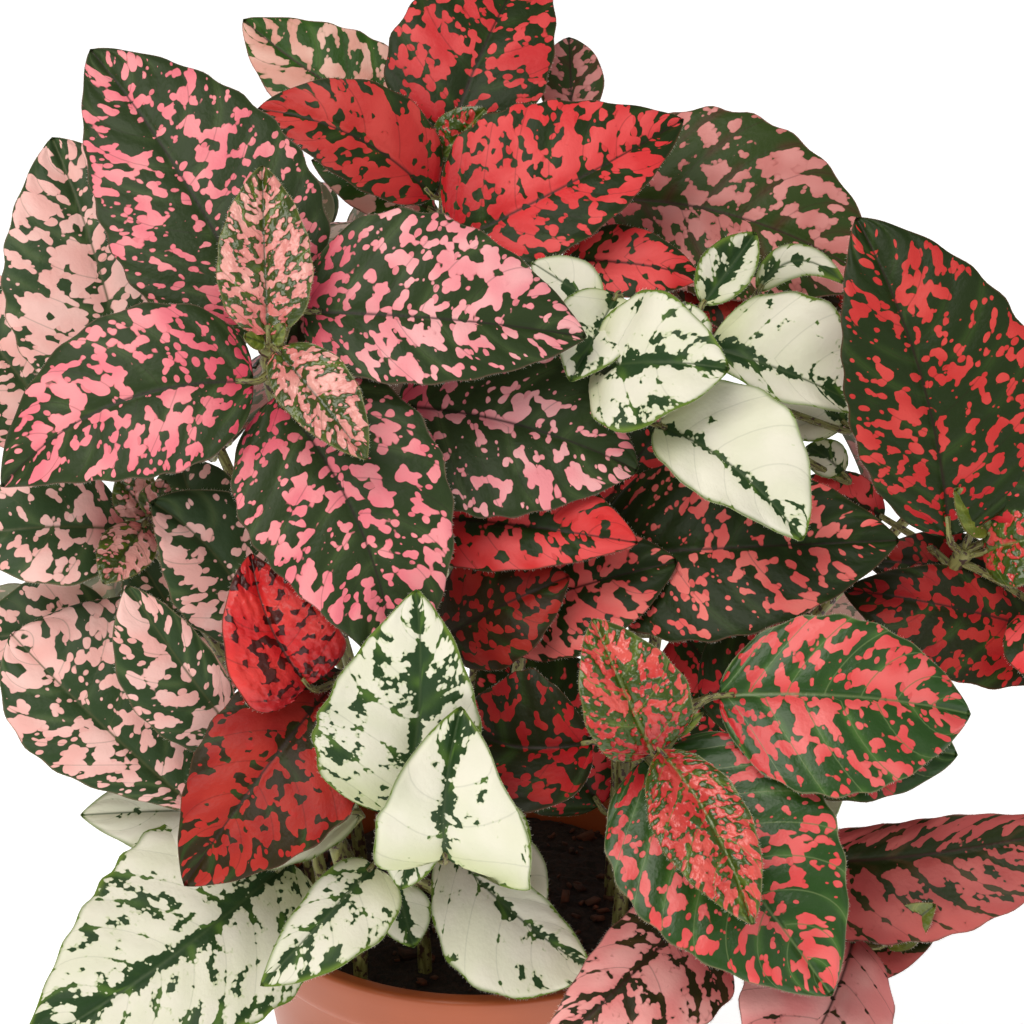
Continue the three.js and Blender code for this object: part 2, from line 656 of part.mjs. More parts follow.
function stemGeometry(curve) {
  const foot = curve.getPoint(0);
  foot.z = SOIL_TOP - HOLE_DEPTH + GAP;
  const rings = [stemRing(foot, new THREE.Vector3(0, 0, 1), STEM_RADIUS)];
  for (let step = 0; step <= STEM_STEPS; step += 1) {
    const along = step / STEM_STEPS;
    const radius = THREE.MathUtils.lerp(STEM_RADIUS, STEM_END_RADIUS, along);
    rings.push(stemRing(curve.getPoint(along), curve.getTangent(along), radius));
  }
  const positions = rings.flat().flatMap((corner) => corner.toArray());
  const indices = [];
  for (let ring = 0; ring < rings.length - 1; ring += 1) {
    for (let corner = 0; corner < STEM_SIDES; corner += 1) {
      const next = (corner + 1) % STEM_SIDES;
      const [a, b] = [ring * STEM_SIDES + corner, ring * STEM_SIDES + next];
      indices.push(a, b, a + STEM_SIDES, b, b + STEM_SIDES, a + STEM_SIDES);
    }
  }
  const last = (rings.length - 1) * STEM_SIDES;
  for (let corner = 1; corner < STEM_SIDES - 1; corner += 1) {
    indices.push(0, corner + 1, corner, last, last + corner, last + corner + 1);
  }
  const geometry = new THREE.BufferGeometry();
  geometry.setAttribute('position', new THREE.Float32BufferAttribute(positions, 3));
  geometry.setIndex(indices);
  return geometry;
}

function stemSolid(stem) {
  const curve = stemCurve(stem);
  let body = solid(stemGeometry(curve));
  for (const blade of stem.leaves) {
    body = body.add(solid(leafGeometry(blade, stemPoint(curve, blade.from))));
  }
  return body;
}

function frontStem(stem) {
  return { ...stem, end: seen(stem.crown), bend: seen(stem.bend) };
}

const STEMS = [...FRONT_STEMS.map(frontStem), ...SHOOTS.map(shootStem)];

// Pot: a turned wall with a stepped collar and a rounded lip, with drain holes through its floor
function wallRadius(height) {
  return FOOT_RADIUS + (RIM_RADIUS - COLLAR_STEP - FOOT_RADIUS) * height / POT_HEIGHT;
}

function potProfile() {
  const collarFoot = POT_HEIGHT - COLLAR_HEIGHT;
  const innerTop = RIM_RADIUS - WALL - COLLAR_STEP;
  const lipCut = LIP_RADIUS * (1 - Math.SQRT1_2);
  const points = [
    [0, 0],
    [FOOT_RADIUS - FOOT_BEVEL, 0],
    [FOOT_RADIUS, FOOT_BEVEL],
    [wallRadius(collarFoot - COLLAR_STEP), collarFoot - COLLAR_STEP],
    [wallRadius(collarFoot) + COLLAR_STEP, collarFoot],
    [RIM_RADIUS, POT_HEIGHT - LIP_RADIUS],
    [RIM_RADIUS - lipCut, POT_HEIGHT - lipCut],
    [RIM_RADIUS - LIP_RADIUS, POT_HEIGHT],
    [innerTop + INNER_BEVEL, POT_HEIGHT],
    [innerTop, POT_HEIGHT - INNER_BEVEL],
    [wallRadius(FLOOR) - WALL, FLOOR],
    [0, FLOOR],
  ];
  return points.map(([radius, height]) => new THREE.Vector2(radius, height));
}

function turned(points, sides) {
  const geometry = new THREE.LatheGeometry(points, sides);
  geometry.rotateX(Math.PI / 2);
  return geometry;
}

function upright(radius, low, high, sides, x, y) {
  const geometry = new THREE.CylinderGeometry(radius, radius, high - low, sides);
  geometry.rotateX(Math.PI / 2);
  geometry.translate(x, y, (low + high) / 2);
  return solid(geometry);
}

function potSolid() {
  let body = solid(turned(potProfile(), POT_SIDES));
  for (let i = 0; i < DRAIN_COUNT; i += 1) {
    const angle = 2 * Math.PI * i / DRAIN_COUNT;
    const x = DRAIN_CIRCLE * Math.cos(angle);
    const y = DRAIN_CIRCLE * Math.sin(angle);
    body = body.subtract(upright(DRAIN_RADIUS, -1, FLOOR + 1, DRAIN_SIDES, x, y));
  }
  return body;
}

// Soil: fills the pot up to a low heap, with one plain hole for each stem
function soilSolid() {
  const inner = (height) => {
    const low = wallRadius(FLOOR) - WALL;
    const high = RIM_RADIUS - WALL - COLLAR_STEP;
    return low + (high - low) * (height - FLOOR) / (POT_HEIGHT - FLOOR) - 2 * GAP;
  };
  const bottom = FLOOR + GAP;
  const points = [
    [0, bottom],
    [inner(bottom), bottom],
    [inner(SOIL_TOP - SOIL_EDGE_DROP), SOIL_TOP - SOIL_EDGE_DROP],
    [inner(SOIL_TOP) - SOIL_EDGE_SLOPE, SOIL_TOP],
    [inner(SOIL_TOP) * SOIL_SHOULDER[0], SOIL_TOP + SOIL_CROWN * SOIL_SHOULDER[1]],
    [0, SOIL_TOP + SOIL_CROWN],
  ].map(([radius, height]) => new THREE.Vector2(radius, height));
  let body = solid(turned(points, SOIL_SIDES));
  const holeRadius = (STEM_RADIUS + GAP) / Math.cos(Math.PI / HOLE_SIDES);
  for (const { root } of STEMS) {
    const [x, y] = root;
    const hole = upright(holeRadius, SOIL_TOP - HOLE_DEPTH, SOIL_TOP + 2 * SOIL_CROWN, HOLE_SIDES, x, y);
    body = body.subtract(hole);
  }
  return body;
}

const LEAF_COLOURS = {
  pink: 0x8a4a52,
  blush: 0xc99a98,
  red: 0xb0302c,
  scarlet: 0xa8473a,
  rose: 0xb8606c,
  white: 0xd8dcc4,
};

const object = new THREE.Group();

function addNode(name, body, colour, roughness) {
  const material = new THREE.MeshStandardMaterial({ color: colour, roughness, metalness: 0 });
  const mesh = new THREE.Mesh(geometryOf(body), material);
  mesh.name = name;
  object.add(mesh);
}

addNode('pot', potSolid(), 0xbe6b43, 0.45);
addNode('soil', soilSolid(), 0x2c1a12, 0.95);
for (const stem of STEMS) {
  addNode(stem.name, stemSolid(stem), LEAF_COLOURS[stem.colour], 0.4);
}

export default object;
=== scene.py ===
import math

import bpy
import numpy as np
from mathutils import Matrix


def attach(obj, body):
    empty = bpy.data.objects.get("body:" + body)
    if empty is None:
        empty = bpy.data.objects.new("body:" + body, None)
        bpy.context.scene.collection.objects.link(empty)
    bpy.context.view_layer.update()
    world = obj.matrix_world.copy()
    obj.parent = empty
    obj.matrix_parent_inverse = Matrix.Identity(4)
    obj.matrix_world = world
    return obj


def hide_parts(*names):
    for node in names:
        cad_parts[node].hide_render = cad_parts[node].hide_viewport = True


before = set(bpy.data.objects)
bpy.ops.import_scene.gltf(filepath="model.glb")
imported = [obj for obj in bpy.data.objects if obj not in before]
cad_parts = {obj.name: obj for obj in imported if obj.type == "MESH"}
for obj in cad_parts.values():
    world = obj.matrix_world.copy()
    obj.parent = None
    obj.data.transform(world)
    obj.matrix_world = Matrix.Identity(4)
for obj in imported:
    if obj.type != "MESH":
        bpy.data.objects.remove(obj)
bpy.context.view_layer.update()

MM = 0.001
SEED = 20

# Pot and soil
POT_HEIGHT = 92
RIM_RADIUS = 54
FOOT_RADIUS = 38
WALL = 2.4
FLOOR = 3
COLLAR_HEIGHT = 11
COLLAR_STEP = 1.3
LIP_RADIUS = 1.2
POT_SIDES = 160
DRAIN_COUNT = 5
DRAIN_SIDES = 32
DRAIN_RADIUS = 4
DRAIN_CIRCLE = 23
# Below this depth the pot's inner wall takes painted shade.
INNER_SHADE_DEPTH = 3
SOIL_TOP = POT_HEIGHT - 9
SOIL_CROWN = 3
HOLE_DEPTH = 12
GAP = 0.3

# Foliage
BLADE_FOLD = 8
BLADE_CUP = -10
BLADE_WAVES = 2
FACE_LIFT = 0.3
STEM_RADIUS = 1.6
STEM_END_RADIUS = 1.2
STEM_STEPS = 4
PETIOLE_RADIUS = 0.85
PETIOLE_THIN = 0.2
PETIOLE_SHARE = 0.12
PETIOLE_RISE = 0.08
PETIOLE_PULLS = (0.35, 0.3)
FOOT_RISE = 24
OUTLINE_BASE_POWER = 0.62
OUTLINE_TIP_POWER = 0.86
CURL_START = 0.5
PROFILE_STEPS = 8

# The view that the front leaves were read in: a long lens that looks down on the pot.
# A place in it is (across, down, near): two pixels of a picture of 1024 by 1024, and how many
# millimetres the point stands in front of the upright plane of view through the rim's centre.
VIEW_ELEVATION = math.radians(24)
VIEW_DEPTH = 861
PIXELS_PER_MM = 4.39
PICTURE_MIDDLE_PX = (512, 512)
RIM_CENTRE_PX = (480, 878)

RIM_CENTRE = np.array([0.0, 0.0, POT_HEIGHT])
VIEW_RIGHT = np.array([1.0, 0.0, 0.0])
VIEW_UP = np.array([0.0, math.sin(VIEW_ELEVATION), math.cos(VIEW_ELEVATION)])
VIEW_NEAR = np.array([0.0, -math.cos(VIEW_ELEVATION), math.sin(VIEW_ELEVATION)])

def unit(vector):
    return vector / np.linalg.norm(vector)


def units(vectors):
    return vectors / np.linalg.norm(vectors, axis=-1, keepdims=True)


def seen(place):
    """The point that a place in the view stands for."""
    across, down, near = place
    pixel = (VIEW_DEPTH - near) / (PIXELS_PER_MM * VIEW_DEPTH)
    right = (across - PICTURE_MIDDLE_PX[0]) * pixel
    right -= (RIM_CENTRE_PX[0] - PICTURE_MIDDLE_PX[0]) / PIXELS_PER_MM
    up = (PICTURE_MIDDLE_PX[1] - down) * pixel
    up -= (PICTURE_MIDDLE_PX[1] - RIM_CENTRE_PX[1]) / PIXELS_PER_MM
    return RIM_CENTRE + right * VIEW_RIGHT + up * VIEW_UP + near * VIEW_NEAR


# The front leaves' upper faces look toward the view and a little upward.
LEAF_FACE = unit(VIEW_NEAR + FACE_LIFT * VIEW_UP)


def leaf(start, base, tip, width, **shape):
    return dict(shape, start=start, base=seen(base), tip=seen(tip), width=width, face=LEAF_FACE)


FRONT_STEMS = []


def front_stem(name, colour, root, crown, bend, leaves):
    place = dict(root=root, end=seen(crown), bend=seen(bend))
    FRONT_STEMS.append(dict(place, name=name, colour=colour, leaves=leaves))


# The stems that show in front: where they root in the soil, their crown in the view, and the place
# there that they head for before they turn to it. A leaf's first number is how far up the stem its
# petiole starts, then come the blade's base and tip in the view and its width in millimetres. The
# shape options are explained at blade_points. `look` is the blade's own look where it isn't its
# stem's, or a paler or darker copy of a look that paints the light or shade the blade gets, and
# `spots` says from 0 to 1 how much of it the spots take.
front_stem("stem_pink_front", "pink", (-14, -14), (268, 346, 90), (256, 400, 66), [
    leaf(0.99, (268, 336, 93), (262, 165, 86), 20, fold=16, arch=2, belly=0.36, look="young_pink",
         spots=0.6),
    leaf(0.99, (276, 350, 93), (367, 460, 104), 15.5, fold=14, arch=2, skew=0.1, look="young_pink",
         spots=0.6),
    leaf(0.99, (266, 344, 92), (243, 336, 96), 4, look="bud"),
    leaf(0.99, (272, 344, 92), (285, 323, 96), 4, look="bud"),
    leaf(0.9, (266, 334, 78), (90, 49, 60), 44.8, fold=5, arch=5, bow=-1.7, skew=-0.08, belly=0.36,
         spots=0.35),
    leaf(0.94, (254, 382, 87), (1, 487, 84), 37, arch=6, bow=-5.2, belly=0.34, spots=0.5),
    leaf(0.94, (304, 312, 86), (587, 337, 80), 37.9, fold=9, arch=5, bow=-0.6, skew=0.2, belly=0.34,
         look="pink_pale", spots=0.55),
    leaf(0.86, (276, 396, 84), (397, 672, 90), 43, arch=5, bow=4.6, belly=0.36, spots=0.5),
    leaf(0.8, (396, 406, 66), (639, 471, 71), 41.5, fold=6, arch=4, bow=1.7, skew=-0.05, belly=0.4,
         look="pink_pale", spots=0.35),
    leaf(0.88, (300, 374, 72), (298, 300, 66), 14),
])
front_stem("stem_blush_left", "blush", (-26, -8), (149, 521, 64), (186, 632, 50), [
    leaf(0.99, (150, 517, 66), (166, 480, 67), 8, look="young_pink", spots=0.6),
    leaf(0.99, (145, 524, 66), (103, 584, 76), 12, look="young_pink", spots=0.8),
    leaf(0.98, (148, 516, 62), (117, 476, 64), 10, look="young_pink", spots=0.6),
    leaf(0.95, (126, 530, 62), (-42, 538, 68), 27, fold=12, arch=5, spots=0.45),
    leaf(0.85, (135, 420, 56), (52, 137, 50), 43, fold=10, arch=5, bow=-1.7, spots=0.85),
    leaf(0.8, (70, 446, 42), (-64, 270, 34), 32, arch=5, spots=0.8),
    leaf(0.9, (206, 548, 36), (178, 456, 36), 22, arch=3),
    leaf(0.5, (226, 700, 32), (132, 548, 32), 26, arch=3),
])
front_stem("stem_blush_low", "blush", (-34, -15), (262, 694, 56), (280, 760, 44), [
    leaf(0.97, (258, 648, 62), (151, 501, 73), 28.5, fold=12, arch=4, bow=-3.9, skew=-0.05, belly=0.46,
         spots=0.4),
    leaf(0.8, (267, 771, 56), (127, 585, 76), 20.3, fold=10, arch=5, bow=1.4, skew=0.35, belly=0.61,
         spots=0.55),
    leaf(0.88, (221, 828, 58), (11, 633, 60), 41.8, arch=5, bow=1.6, skew=-0.3, belly=0.66, spots=0.65),
    leaf(0.8, (120, 640, 42), (-30, 640, 44), 26, fold=6, arch=5),
])
front_stem("stem_red_low", "red", (-12, -28), (340, 676, 68), (352, 740, 54), [
    leaf(0.97, (308, 685, 78), (251, 553, 80), 25.7, fold=20, arch=3, bow=2.4, belly=0.25,
         look="young_deep", spots=0.3),
    leaf(0.99, (344, 672, 66), (184, 886, 77), 35, arch=6, skew=0.15, look="red_deep", spots=0.6),
])
front_stem("stem_white_front", "white", (-26, -36), (420, 850, 76), (376, 905, 58), [
    leaf(0.97, (397, 816, 80), (416, 589, 99), 34.9, fold=6, arch=4, bow=-2.9, curl=(30, 50), wave=2,
         skew=0.21, belly=0.36, spots=0),
    leaf(0.99, (446, 859, 86), (461, 706, 100), 36.9, fold=22, arch=5, bow=1.1, curl=(20, 60), wave=3,
         skew=-0.19, belly=0.22, spots=0.5),
    leaf(0.96, (424, 806, 84), (400, 890, 82), 13, fold=20),
    leaf(0.96, (492, 800, 84), (529, 858, 84), 8, fold=20),
])
front_stem("stem_white_low_front", "white", (-1, -31), (398, 856, 50), (400, 890, 40), [
    leaf(0.97, (374, 865, 66), (260, 986, 76), 18.8, fold=14, arch=4, bow=0.8, curl=(15, 15), wave=1.2,
         skew=0.3, belly=0.33),
    leaf(0.97, (439, 832, 44), (593, 972, 60), 24.3, fold=5, arch=6, bow=-3, curl=(30, 0), wave=1,
         skew=-0.44, belly=0.6),
    leaf(0.9, (396, 884, 42), (414, 948, 43), 12, fold=6),
    leaf(0.9, (482, 852, 48), (546, 905, 52), 16, arch=3),
])
front_stem("stem_white_low_left", "white", (-27, -24), (335, 840, 44), (336, 880, 36), [
    leaf(0.96, (289, 860, 46), (22, 1052, 66), 47, fold=6, arch=8, bow=3.7, wave=1.5, skew=-0.04,
         belly=0.32, spots=0.05),
    leaf(0.99, (360, 812, 46), (80, 815, 50), 27, arch=4, curl=(0, 30), wave=1.5),
])
front_stem("stem_red_centre", "red", (2, -12), (430, 600, 54), (436, 680, 40), [
    leaf(0.98, (436, 517, 64), (639, 543, 74), 29.5, arch=3, bow=-0.4, skew=0.25, belly=0.26,
         look="red_bright", spots=0.3),
    leaf(0.96, (440, 640, 60), (570, 576, 68), 25, fold=6, arch=3, look="red_deep", spots=0.4),
    leaf(0.92, (468, 626, 50), (678, 561, 62), 29, fold=6, arch=4, belly=0.48, look="red_light", spots=0.9),
])
front_stem("stem_red_right", "red", (32, -8), (600, 590, 44), (634, 690, 30), [
    leaf(0.97, (589, 555, 50), (900, 540, 66), 41.2, arch=5, bow=-1.4, belly=0.39, look="red_light",
         spots=0.4),
    leaf(0.9, (700, 700, 44), (862, 646, 50), 29, arch=4),
    leaf(0.8, (600, 806, 16), (486, 640, 18), 34, arch=4),
    leaf(0.94, (604, 508, 34), (664, 424, 34), 16, arch=3),
    leaf(0.86, (676, 660, 14), (622, 796, 16), 30, arch=3),
    leaf(0.9, (680, 630, 20), (766, 752, 17), 33, arch=3),
])
front_stem("stem_red_far_right", "red", (42, -6), (966, 548, 56), (930, 620, 40), [
    leaf(0.98, (949, 536, 62), (856, 217, 66), 42.5, fold=10, arch=5, bow=-2.9, skew=-0.17, belly=0.4,
         look="red_dim", spots=0.4),
    leaf(0.99, (980, 516, 60), (1084, 372, 60), 33, arch=5),
    leaf(0.93, (1012, 580, 46), (862, 560, 44), 16, arch=3, look="red_dark", spots=0.8),
    leaf(0.94, (884, 518, 38), (798, 482, 36), 12, arch=3),
    leaf(0.9, (1070, 640, 48), (842, 589, 52), 26, arch=5, skew=0.25, look="red_dark", spots=0.75),
    leaf(0.97, (984, 552, 58), (1072, 536, 66), 20, fold=12, arch=3, look="young_red"),
    leaf(0.98, (990, 534, 60), (954, 488, 66), 9, fold=20, look="bud"),
    leaf(0.96, (1034, 606, 58), (1086, 700, 66), 24, arch=5),
])
front_stem("stem_scarlet_front", "scarlet", (35, -28), (662, 742, 90), (664, 830, 68), [
    leaf(0.99, (652, 752, 93), (593, 618, 92), 22.8, fold=16, arch=3, bow=0.5, skew=-0.08, belly=0.32,
         look="young_red", spots=0.75),
    leaf(0.99, (660, 750, 94), (753, 925, 110), 19.7, fold=16, arch=3, bow=1.8, skew=-0.2, belly=0.46,
         look="young_red", spots=0.95),
    leaf(0.99, (670, 738, 92), (704, 712, 96), 3, look="bud"),
    leaf(0.95, (718, 696, 86), (971, 714, 82), 38.4, fold=10, arch=6, bow=0.4, skew=-0.13, belly=0.42,
         spots=0.6),
    leaf(0.93, (646, 758, 84), (832, 996, 98), 45.7, arch=5, skew=0.04, belly=0.38, spots=0.4),
    leaf(0.84, (592, 742, 74), (456, 716, 62), 33, fold=24, arch=4, bow=5, look="red_dark", spots=0.6),
    leaf(0.82, (768, 738, 66), (958, 755, 68), 27, arch=5),
])
front_stem("stem_rose_low_right", "rose", (39, -18), (790, 892, 58), (760, 920, 46), [
    leaf(0.93, (685, 921, 60), (528, 1073, 78), 28.6, fold=10, arch=6, bow=0.9, skew=0.3, belly=0.25),
    leaf(0.97, (784, 863, 60), (1122, 813, 68), 26.1, fold=10, arch=5, bow=-3.6, wave=2, skew=-0.42,
         belly=0.34, look="rose_dusky", spots=0.4),
    leaf(0.97, (854, 934, 62), (770, 1111, 82), 32.7, fold=12, arch=6, bow=1.9, wave=1.5, skew=-0.14,
         belly=0.51),
    leaf(0.99, (884, 944, 66), (936, 904, 76), 9, fold=20, look="bud"),
    leaf(0.95, (822, 962, 58), (934, 940, 64), 14, arch=2, look="rose_dusky", spots=0.9),
])
front_stem("stem_white_centre", "white", (3, -22), (624, 350, 62), (520, 480, 40), [
    leaf(0.99, (592, 372, 70), (730, 369, 86), 31, arch=5, curl=(30, 10), wave=1.5, spots=0),
    leaf(0.99, (616, 296, 66), (570, 382, 78), 19, fold=30),
    leaf(0.96, (657, 425, 74), (803, 541, 86), 27, fold=12, arch=4, bow=2, curl=(0, 40), wave=1.5,
         skew=0.25, belly=0.38, spots=0.95),
    leaf(0.97, (600, 306, 58), (531, 262, 57), 13, fold=12),
    leaf(0.98, (692, 352, 66), (684, 301, 64), 10, fold=20),
])
front_stem("stem_white_right", "white", (31, -19), (702, 350, 52), (680, 480, 38), [
    leaf(0.98, (708, 347, 58), (870, 412, 56), 24, fold=10, arch=4, curl=(50, 0), wave=1.5, skew=0.45),
    leaf(0.99, (702, 305, 54), (756, 232, 48), 13, fold=30),
    leaf(0.96, (758, 292, 42), (846, 285, 38), 8, fold=10, bow=6.5),
    leaf(0.9, (844, 474, 40), (806, 446, 36), 9, fold=10, arch=2),
    leaf(0.93, (846, 424, 38), (776, 380, 34), 20, fold=10, arch=2),
])
front_stem("stem_red_top", "red", (-4, -3), (444, 148, 34), (446, 240, 26), [
    leaf(0.99, (448, 140, 32), (537, -46, 12), 35.9, fold=6, arch=6, bow=0.7, skew=0.1, belly=0.32,
         look="red_top", spots=0.7),
    leaf(0.98, (433, 197, 38), (257, 109, 42), 23.8, fold=14, arch=5, bow=-2.6, skew=-0.1, belly=0.4,
         look="red_dim", spots=0.95),
    leaf(0.96, (454, 242, 44), (684, 119, 38), 35.5, arch=6, bow=-2.7, skew=0.24, belly=0.31, spots=0.98),
    leaf(0.98, (440, 158, 36), (486, 108, 40), 12, fold=16, look="young_red", spots=0.5),
    leaf(0.88, (560, 262, 36), (702, 278, 42), 17, arch=4, spots=0.95),
])
front_stem("stem_rose_top_left", "rose", (-14, 6), (410, 160, 14), (410, 240, 8), [
    leaf(0.97, (418, 132, 16), (243, 19, 10), 26.5, fold=6, arch=4, bow=3.1, skew=-0.09, belly=0.37,
         look="rose_green"),
    leaf(0.96, (434, 212, 18), (311, 160, 20), 16, fold=6, arch=3, look="rose_green", spots=0.6),
])
front_stem("stem_rose_top_right", "rose", (3, 6), (600, 186, 14), (520, 300, 4), [
    leaf(0.98, (572, 128, 10), (569, 37, 0), 15, fold=10, arch=3, look="rose_dim", spots=0.6),
    leaf(0.98, (598, 199, 18), (882, 287, 22), 44.7, arch=6, bow=3.5, skew=0.07, belly=0.38,
         look="rose_dim"),
    leaf(0.92, (672, 270, 20), (866, 312, 22), 26, arch=4, look="red_deep", spots=0.8),
])

# Stems that fill the back, the sides and the top. Their leaves stand in crossed pairs round the
# stem's end: the crown is that end in millimetres above the rim, `turn` is the youngest pair's
# bearing and `size` scales the leaves. A pair stands `below` the crown, and its leaves spread
# from the stem by an angle in degrees.
PAIRS = [
    dict(below=1, petiole=2, length=17, width=9, spread=38),
    dict(below=5, petiole=6, length=38, width=24, spread=62),
    dict(below=15, petiole=12, length=52, width=34, spread=82),
]
SHOOT_CENTRE = np.array([0.0, -3.0, POT_HEIGHT + 14])
SHOOT_UPTURN = 0.35
SHOOT_LEAN = 30
SHOOT_ARCH = 0.1
SHOOT_STEP = 0.006
UPRIGHT = np.array([0.0, 0.0, 1.0])


def turned_round(vector, axis, angle):
    across = np.cross(axis, vector)
    along = axis * np.dot(axis, vector) * (1 - math.cos(angle))
    return vector * math.cos(angle) + across * math.sin(angle) + along


def shoot(name, colour, root, crown, turn, size):
    end = np.array([crown[0], crown[1], crown[2] + POT_HEIGHT], float)
    axis = unit(end - SHOOT_CENTRE)
    axis = unit(axis + SHOOT_UPTURN * UPRIGHT)
    across = unit(np.cross(UPRIGHT, axis))
    leaves = []
    for index, pair in enumerate(PAIRS):
        for half in (0, 180):
            bearing = math.radians(turn + 90 * index + half)
            spread = math.radians(pair["spread"])
            outward = turned_round(across, axis, bearing)
            direction = axis * math.cos(spread) + outward * math.sin(spread)
            node = end - axis * pair["below"] * size
            base = node + direction * pair["petiole"] * size
            leaves.append(dict(
                start=1 - SHOOT_STEP * pair["below"],
                base=base,
                tip=base + direction * pair["length"] * size,
                width=pair["width"] * size,
                face=axis,
                arch=SHOOT_ARCH * pair["length"] * size,
            ))
    place = dict(root=root, end=end, bend=end - axis * SHOOT_LEAN)
    return dict(place, name=name, colour=colour, leaves=leaves)


SHOOTS = [
    shoot("shoot_blush_side", "blush", (-38, 4), (-96, 35, 58), 60, 0.95),
    shoot("shoot_pink_back_left", "pink", (-28, 18), (-66, 59, 94), 65, 1),
    shoot("shoot_white_back_left", "white", (-20, 32), (-44, 83, 34), 10, 0.9),
    shoot("shoot_red_back", "red", (-3, 28), (2, 97, 82), 25, 1),
    shoot("shoot_rose_back_right", "rose", (31, 26), (60, 81, 44), 15, 0.95),
    shoot("shoot_pink_side", "pink", (37, 15), (106, 33, 86), 70, 1),
    shoot("shoot_white_side", "white", (40, 5), (74, 11, 4), 10, 0.85),
    shoot("shoot_blush_top", "blush", (-12, 18), (-36, 72, 130), 60, 0.9),
    shoot("shoot_red_inner", "red", (30, 4), (48, 72, 104), 35, 0.95),
]

# Surface detail of a blade, in millimetres. A pair of shares is what there is at the margin, and what
# is added further in.
GRID_STEP = 1.05
YOUNG_GRID_STEP = 0.6
SHOOT_COARSENESS = 1.3
FEWEST_ROWS = 10
FEWEST_COLUMNS = 6
EVEN_ROWS = 0.45
EASED_ROWS = 0.55
EDGE_BAND = 0.3
WIDEST_BAND = 0.3
MARGIN_WIDTH = 1.5
BLADE_HALF_THICKNESS = 0.2
THICKNESS_SHARES = (0.6, 0.4)
RIB_KEEL = 0.6
RIB_GROOVE = 0.45
RIB_WIDTH = 0.8
FEWEST_VEINS = 3
VEIN_SPACING = 8
VEIN_ADVANCE = 0.24
VEIN_CURVE = 1.35
VEIN_OFFSET = 0.2
FULL_RELIEF_WIDTH = 30
QUILT = 0.6
QUILT_POWER = 0.7
QUILT_START = 4
QUILT_SHARES = (0.35, 0.65)
PUCKER_CELL = 2.1
PUCKER_SLANT = 0.4
PUCKER_START = 1.2
PUCKER_SHIFT = 40
YOUNG_PUCKER = 0.7
OLD_PUCKER = 0.12
CRENATION = 0.02
CRENATION_POWER = 4
FULL_CRENATION_WIDTH = 20
PATTERN_STRETCH = 0.9
PATTERN_SWEEP = 0.3
PATTERN_SHIFT = 300
CELL_TABLE = 64
CELL_STEEPNESS = 3.2
FAR = 9.0

random = np.random.default_rng(SEED)
CELL_OFFSETS = random.random((CELL_TABLE, CELL_TABLE, 2))


def cell_domes(across, down):
    """1 in the middle of each of many irregular cells, falling to 0 where they meet."""
    column = np.floor(across).astype(int)
    row = np.floor(down).astype(int)
    nearest = np.full(across.shape, FAR)
    second = np.full(across.shape, FAR)
    for i in (-1, 0, 1):
        for j in (-1, 0, 1):
            offset = CELL_OFFSETS[(column + i) % CELL_TABLE, (row + j) % CELL_TABLE]
            gap = np.hypot(column + i + offset[..., 0] - across, row + j + offset[..., 1] - down)
            second = np.minimum(second, np.maximum(nearest, gap))
            nearest = np.minimum(nearest, gap)
    return 1 - np.exp(-CELL_STEEPNESS * (second - nearest))


def bell(distance, width):
    return np.exp(-(distance / width) ** 2)


def blade_axes(blade):
    axis = unit(blade["tip"] - blade["base"])
    normal = unit(blade["face"] - axis * np.dot(blade["face"], axis))
    return axis, normal, np.cross(normal, axis)


